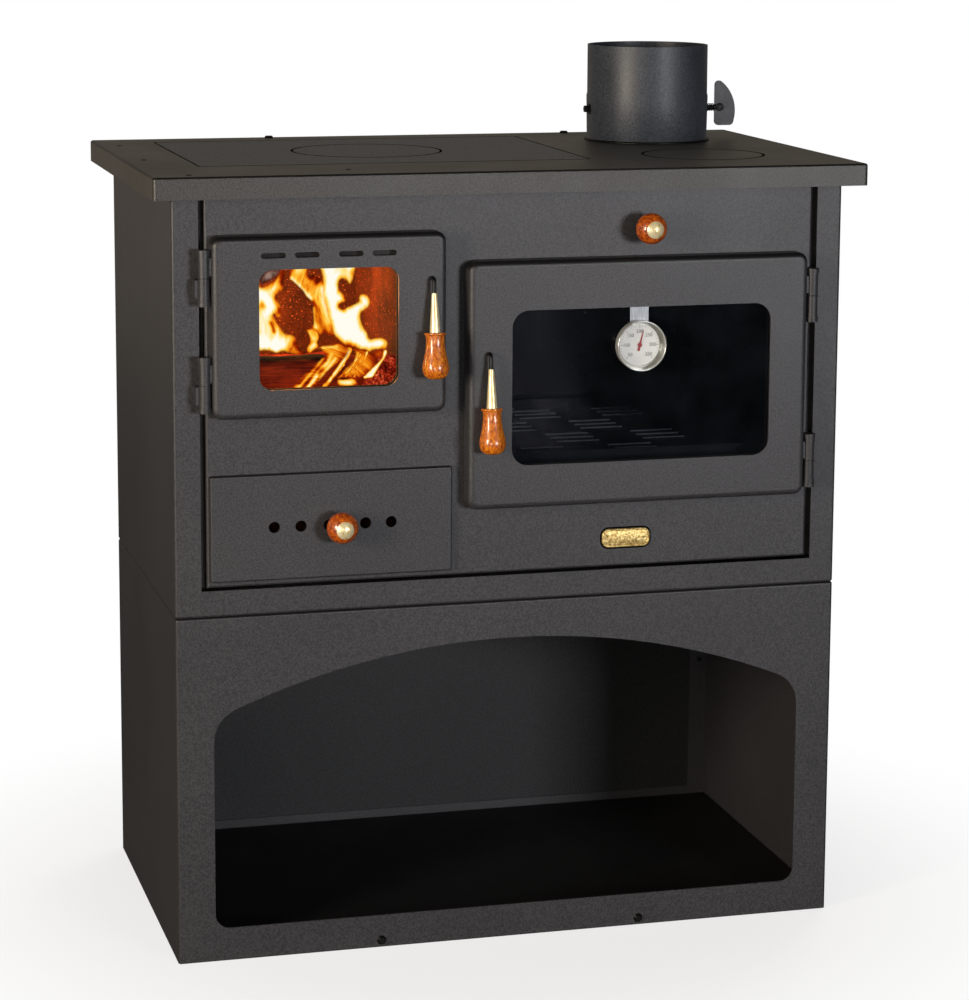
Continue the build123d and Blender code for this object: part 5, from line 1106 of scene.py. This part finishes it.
def burningWood(name, look):
    # charFrom to charTo is the height, in metres, where the log's top turns to charcoal
    material, tree = newFinish(name)
    place = addNode(tree, "ShaderNodeTexCoord").outputs["Object"]
    fine, length = look["grainMm"]
    stretched = addNode(tree, "ShaderNodeMapping", {"vector_type": "POINT"}, {
        "Scale": (perMetre(length), perMetre(fine * 4), perMetre(fine))}, {"Vector": place})
    grain = addNode(tree, "ShaderNodeTexNoise", values={"Scale": 1.0, "Detail": 5.0, "Roughness": 0.65},
                    links={"Vector": stretched.outputs[0]})
    patch = addNode(tree, "ShaderNodeTexNoise", values={"Scale": perMetre(look["patchMm"]), "Detail": 3.0},
                    links={"Vector": place})
    mixed = addNode(tree, "ShaderNodeMath", {"operation": "MULTIPLY_ADD", "use_clamp": True}, {1: 0.5}, {
        0: patch.outputs["Fac"], 2: grain.outputs["Fac"]})
    ramp = addNode(tree, "ShaderNodeValToRGB", links={"Fac": mixed.outputs[0]})
    setStops(ramp, [(0.5, look["char"]), (0.64, look["grain"]), (0.98, look["hot"])])
    height = addNode(tree, "ShaderNodeSeparateXYZ", links={"Vector": place}).outputs["Z"]
    ragged = addNode(tree, "ShaderNodeMath", {"operation": "MULTIPLY_ADD"}, {1: look["ragged"]}, {
        0: patch.outputs["Fac"], 2: height})
    crust = addNode(tree, "ShaderNodeMapRange", {"interpolation_type": "SMOOTHSTEP"}, {
        "From Min": look["charFrom"] + look["ragged"] / 2, "From Max": look["charTo"] + look["ragged"] / 2},
        {"Value": ragged.outputs[0]})
    colour = addNode(tree, "ShaderNodeMix", {"data_type": "RGBA"}, {"B": toLinear(look["char"])}, {
        "Factor": crust.outputs[0], "A": ramp.outputs["Color"]})
    bump = addNode(tree, "ShaderNodeBump", values={"Strength": 1.0, "Distance": look["barkMm"] / 1000},
                   links={"Height": grain.outputs["Fac"]})
    # painted light: the wood's own colour glows, for the firelight falling on it
    shader = addNode(tree, "ShaderNodeBsdfPrincipled", values={
        "Roughness": 0.85, "Specular IOR Level": 0.2, "Emission Strength": look["glow"]}, links={
        "Base Color": colour.outputs["Result"], "Emission Color": colour.outputs["Result"],
        "Normal": bump.outputs[0]})
    endFinish(tree, shader)
    return material


def glowingCoal(name, look):
    material, tree = newFinish(name)
    place = addNode(tree, "ShaderNodeTexCoord").outputs["Object"]
    flake = addNode(tree, "ShaderNodeTexNoise", values={
        "Scale": perMetre(look["flakeMm"]), "Detail": 5.0, "Roughness": 0.75, "Distortion": 0.6},
        links={"Vector": place})
    patch = addNode(tree, "ShaderNodeTexNoise", values={"Scale": perMetre(look["patchMm"]), "Detail": 2.0},
                    links={"Vector": place})
    heat = addNode(tree, "ShaderNodeMath", {"operation": "MULTIPLY_ADD", "use_clamp": True}, {1: 0.5}, {
        0: patch.outputs["Fac"], 2: flake.outputs["Fac"]})
    ramp = addNode(tree, "ShaderNodeValToRGB", links={"Fac": heat.outputs[0]})
    setStops(ramp, [(0.6, look["skin"]), (0.72, look["dull"]), (0.84, look["hot"]), (0.95, look["white"])])
    shader = addNode(tree, "ShaderNodeBsdfPrincipled", values={
        "Roughness": 0.9, "Specular IOR Level": 0.2, "Base Color": toLinear(look["skin"])}, links={
        "Emission Color": ramp.outputs["Color"], "Emission Strength": heat.outputs[0]})
    endFinish(tree, shader)
    return material


burningLog = burningWood("burningLogWood", logLook)
hotCoal = glowingCoal("glowingCoal", coalLook)

# centre, half length and radius in metres, turn about the vertical in degrees, and the seed of the bark
logs = {
    "frontLog": {"centre": (-0.212, -0.062, 0.5585), "half": 0.060, "radius": 0.0255, "turn": 2.0, "seed": 3},
    "backLog": {"centre": (-0.185, 0.008, 0.5515), "half": 0.085, "radius": 0.0190, "turn": -6.0, "seed": 8},
    "topLog": {"centre": (-0.190, 0.068, 0.5485), "half": 0.080, "radius": 0.0160, "turn": 9.0, "seed": 14},
}
emberLog = {"centre": (-0.108, -0.062, 0.5560), "half": 0.020, "radius": 0.0230, "turn": 35.0, "seed": 31}
# how far the bark's ridges, its lumps and the split ends stand out, in metres, and how fine each pattern is
barkForm = {
    "ridge": 0.0016, "lump": 0.0030, "split": 0.0035, "ridgeFine": (30, 190), "lumpFine": 38, "splitFine": 120,
    "taper": 0.94, "endInset": 0.35, "endDepth": 0.001,
}
coalBed = {
    "x": (-0.252, -0.112), "y": (-0.120, 0.095), "z": 0.5325, "count": 46, "size": (0.007, 0.013), "seed": 21,
    "broken": 0.55,
}


def roughCylinder(look, rings=28, sides=40):
    # a log: a cylinder cut into rings, with its bark and split ends moved by noise
    shape = bmesh.new()
    bmesh.ops.create_cone(shape, cap_ends=True, segments=sides, radius1=look["radius"],
                          radius2=look["radius"] * barkForm["taper"], depth=2 * look["half"],
                          matrix=Matrix.Rotation(math.radians(90), 4, "Y"))
    for i in range(1, rings):
        cut = -look["half"] + 2 * look["half"] * i / rings
        bmesh.ops.bisect_plane(shape, geom=wholeShape(shape), dist=weldReach, plane_co=(cut, 0, 0),
                               plane_no=(1, 0, 0))
    caps = [f for f in shape.faces if abs(f.normal.x) > 0.9]
    bmesh.ops.inset_region(shape, faces=caps, thickness=look["radius"] * barkForm["endInset"],
                            depth=barkForm["endDepth"])
    (along, across), lumpFine, splitFine = barkForm["ridgeFine"], barkForm["lumpFine"], barkForm["splitFine"]
    shift = Vector((look["seed"] * 3.1, look["seed"] * 1.7, 0.0))
    for v in shape.verts:
        away = Vector((0.0, v.co.y, v.co.z))
        ridge = noise.noise(Vector((v.co.x * along, v.co.y * across, v.co.z * across)) + shift)
        lump = noise.noise(v.co * lumpFine + shift)
        if away.length > 1e-6:
            v.co += away.normalized() * (ridge * barkForm["ridge"] + lump * barkForm["lump"])
        end = noise.noise(Vector((0.0, v.co.y * splitFine, v.co.z * splitFine)) + shift)
        v.co.x += end * barkForm["split"]
    turn = Matrix.Rotation(math.radians(look["turn"]), 4, "Z")
    bmesh.ops.transform(shape, matrix=Matrix.Translation(look["centre"]) @ turn, verts=shape.verts[:])
    bmesh.ops.recalc_face_normals(shape, faces=shape.faces[:])
    return shape


for logName, log in logs.items():
    newPiece(logName, roughCylinder(log), "stove", burningLog)
newPiece("emberLog", roughCylinder(emberLog, 14, 32), "stove", hotCoal)


def makeCoals(look):
    # a bed of broken coals on the grate
    draw = random.Random(look["seed"])
    shape = bmesh.new()
    for i in range(look["count"]):
        size = draw.uniform(*look["size"])
        place = Vector((draw.uniform(*look["x"]), draw.uniform(*look["y"]), look["z"] + size * 0.8))
        turn = Matrix.Rotation(draw.uniform(0, 6.28), 4, "Z") @ Matrix.Rotation(draw.uniform(0, 6.28), 4, "X")
        stretch = Matrix.Diagonal((draw.uniform(0.9, 1.5), 1.0, draw.uniform(0.7, 1.0), 1.0))
        made = bmesh.ops.create_icosphere(shape, subdivisions=2, radius=size,
                                          matrix=Matrix.Translation(place) @ turn @ stretch)["verts"]
        for v in made:
            v.co += (v.co - place) * noise.noise(v.co * 110 + Vector((i, 0, 0))) * look["broken"]
    for v in shape.verts:
        v.co.z = max(v.co.z, look["z"])
    newPiece("coalBed", shape, "stove", hotCoal, smooth=False)


makeCoals(coalBed)
print("logs and coals made")


# ---- floor, backdrop and light

studio = {
    "floorRadius": 4.0, "floorTone": "f8f8f8", "bounceTone": "707070", "fadeFrom": 0.30, "fadeTo": 0.75,
    "lift": 0.72, "ambient": 0.09, "mirrorDark": 0.03, "wall": 0.25, "wallTone": "fff0dc", "wallFrom": 0.35,
    "wallTo": 0.95,
}


def seenShare(tree):
    # 1 for rays that show the backdrop, from the camera and through glass, and 1 for mirrored rays
    paths = addNode(tree, "ShaderNodeLightPath")
    straight = addNode(tree, "ShaderNodeMath", {"operation": "ADD", "use_clamp": True}, links={
        0: paths.outputs["Is Camera Ray"], 1: paths.outputs["Is Transmission Ray"]})
    return straight.outputs[0], paths.outputs["Is Glossy Ray"]


def makeFloor(look):
    # pale disc that keeps the object's shadow and fades to the white backdrop
    shape = bmesh.new()
    bmesh.ops.create_circle(shape, cap_ends=True, segments=96, radius=look["floorRadius"],
                            matrix=Matrix.Translation((0.0, 0.0, -0.0005)))
    data = bpy.data.meshes.new("studioFloor")
    shape.to_mesh(data)
    shape.free()
    floor = linkObject("studioFloor", data)
    material, tree = newFinish("paleFloor")
    place = addNode(tree, "ShaderNodeTexCoord").outputs["Object"]
    distance = addNode(tree, "ShaderNodeVectorMath", {"operation": "LENGTH"}, links={0: place})
    fade = addNode(tree, "ShaderNodeMapRange", {"interpolation_type": "SMOOTHSTEP"}, {
        "From Min": look["fadeFrom"], "From Max": look["fadeTo"], "To Min": look["lift"], "To Max": 1.0},
        {"Value": distance.outputs["Value"]})
    straight, mirrored = seenShare(tree)
    level = addNode(tree, "ShaderNodeMath", {"operation": "MULTIPLY_ADD"}, {1: look["mirrorDark"]}, {
        0: mirrored, 2: straight})
    seen = addNode(tree, "ShaderNodeMath", {"operation": "ADD", "use_clamp": True}, links={
        0: straight, 1: mirrored})
    share = addNode(tree, "ShaderNodeMath", {"operation": "MULTIPLY"}, links={
        0: fade.outputs[0], 1: seen.outputs[0]})
    tone = addNode(tree, "ShaderNodeMix", {"data_type": "RGBA"}, {
        "A": toLinear(look["bounceTone"]), "B": toLinear(look["floorTone"])}, {"Factor": straight})
    ground = addNode(tree, "ShaderNodeBsdfDiffuse", links={"Color": tone.outputs["Result"]})
    white = addNode(tree, "ShaderNodeEmission", values={"Color": (1, 1, 1, 1)}, links={
        "Strength": level.outputs[0]})
    shader = addNode(tree, "ShaderNodeMixShader", links={
        0: share.outputs[0], 1: ground.outputs[0], 2: white.outputs[0]})
    endFinish(tree, shader)
    data.materials.append(material)


def makeWorld(look):
    # white for the camera; mirrored rays find a warm wall behind the stove and a dim studio elsewhere
    world = bpy.data.worlds.new("studioWorld")
    world.use_nodes = True
    tree = world.node_tree
    tree.nodes.clear()
    straight, mirrored = seenShare(tree)
    ray = addNode(tree, "ShaderNodeTexCoord").outputs["Generated"]
    rearward = addNode(tree, "ShaderNodeSeparateXYZ", links={"Vector": ray}).outputs["Y"]
    sky = addNode(tree, "ShaderNodeMapRange", {"interpolation_type": "SMOOTHSTEP"}, {
        "From Min": look["wallFrom"], "From Max": look["wallTo"],
        "To Min": look["mirrorDark"], "To Max": look["wall"]},
        {"Value": rearward})
    seen = addNode(tree, "ShaderNodeMath", {"operation": "ADD", "use_clamp": True}, links={
        0: straight, 1: mirrored})
    whiteLevel = addNode(tree, "ShaderNodeMath", {"operation": "MULTIPLY_ADD", "use_clamp": True}, links={
        0: sky.outputs[0], 1: mirrored, 2: straight})
    level = addNode(tree, "ShaderNodeMix", {"data_type": "FLOAT"}, {"A": look["ambient"]}, {
        "Factor": seen.outputs[0], "B": whiteLevel.outputs[0]})
    tone = addNode(tree, "ShaderNodeMix", {"data_type": "RGBA"}, {
        "A": (1, 1, 1, 1), "B": toLinear(look["wallTone"])}, {"Factor": mirrored})
    plain = addNode(tree, "ShaderNodeBackground", links={
        "Color": tone.outputs["Result"], "Strength": level.outputs[0]})
    addNode(tree, "ShaderNodeOutputWorld", links={"Surface": plain.outputs[0]})
    bpy.context.scene.world = world


lamps = {
    "frontLamp": {
        "place": (1.75, -4.6, 0.98), "aim": (0.0, -0.1, 0.5), "size": (1.1, 0.9), "power": 95.0, "colour": "fafaff"},
    "leftLamp": {
        "place": (-2.2, -1.45, 0.95), "aim": (0.0, 0.0, 0.8), "size": (0.5, 0.8), "power": 52.0, "colour": "fff0dc"},
    "rearLamp": {
        "place": (2.1, 2.7, 0.40), "aim": (0.0, 0.1, 0.42), "size": (1.4, 0.5), "power": 135.0, "colour": "fffcf8",
        "shine": False},
    "overheadLamp": {
        "place": (0.3, 0.7, 2.9), "aim": (0.0, 0.0, 0.8), "size": (1.4, 1.4), "power": 14.0, "colour": "fffefa",
        "shine": False},
    "fillLamp": {
        "place": (-1.6, -3.6, 0.60), "aim": (0.1, 0.0, 0.3), "size": (1.0, 0.7), "power": 17.0, "colour": "fffaf6"},
}


def makeLamp(name, look):
    data = bpy.data.lights.new(name, "AREA")
    data.shape = "RECTANGLE"
    data.size, data.size_y = look["size"]
    data.energy = look["power"]
    data.color = toLinear(look["colour"])[:3]
    lamp = linkObject(name, data)
    # a lamp without shine brightens a surface and leaves no glare on it
    lamp.visible_glossy = look.get("shine", True)
    place = Vector(look["place"])
    turn = (Vector(look["aim"]) - place).to_track_quat("-Z", "Y").to_matrix().to_4x4()
    lamp.matrix_world = Matrix.Translation(place) @ turn


makeFloor(studio)
makeWorld(studio)
for lampName, lampLook in lamps.items():
    makeLamp(lampName, lampLook)

# the fire's own light inside the firebox
fireGlow = {"place": (-0.190, 0.060, 0.640), "power": 1.2, "radius": 0.035, "colour": "ffa458"}
glowData = bpy.data.lights.new("fireGlow", "POINT")
glowData.energy = fireGlow["power"]
glowData.shadow_soft_size = fireGlow["radius"]
glowData.color = toLinear(fireGlow["colour"])[:3]
linkObject("fireGlow", glowData).location = fireGlow["place"]
bpy.context.scene.view_settings.view_transform = "Standard"
print("studio set up")
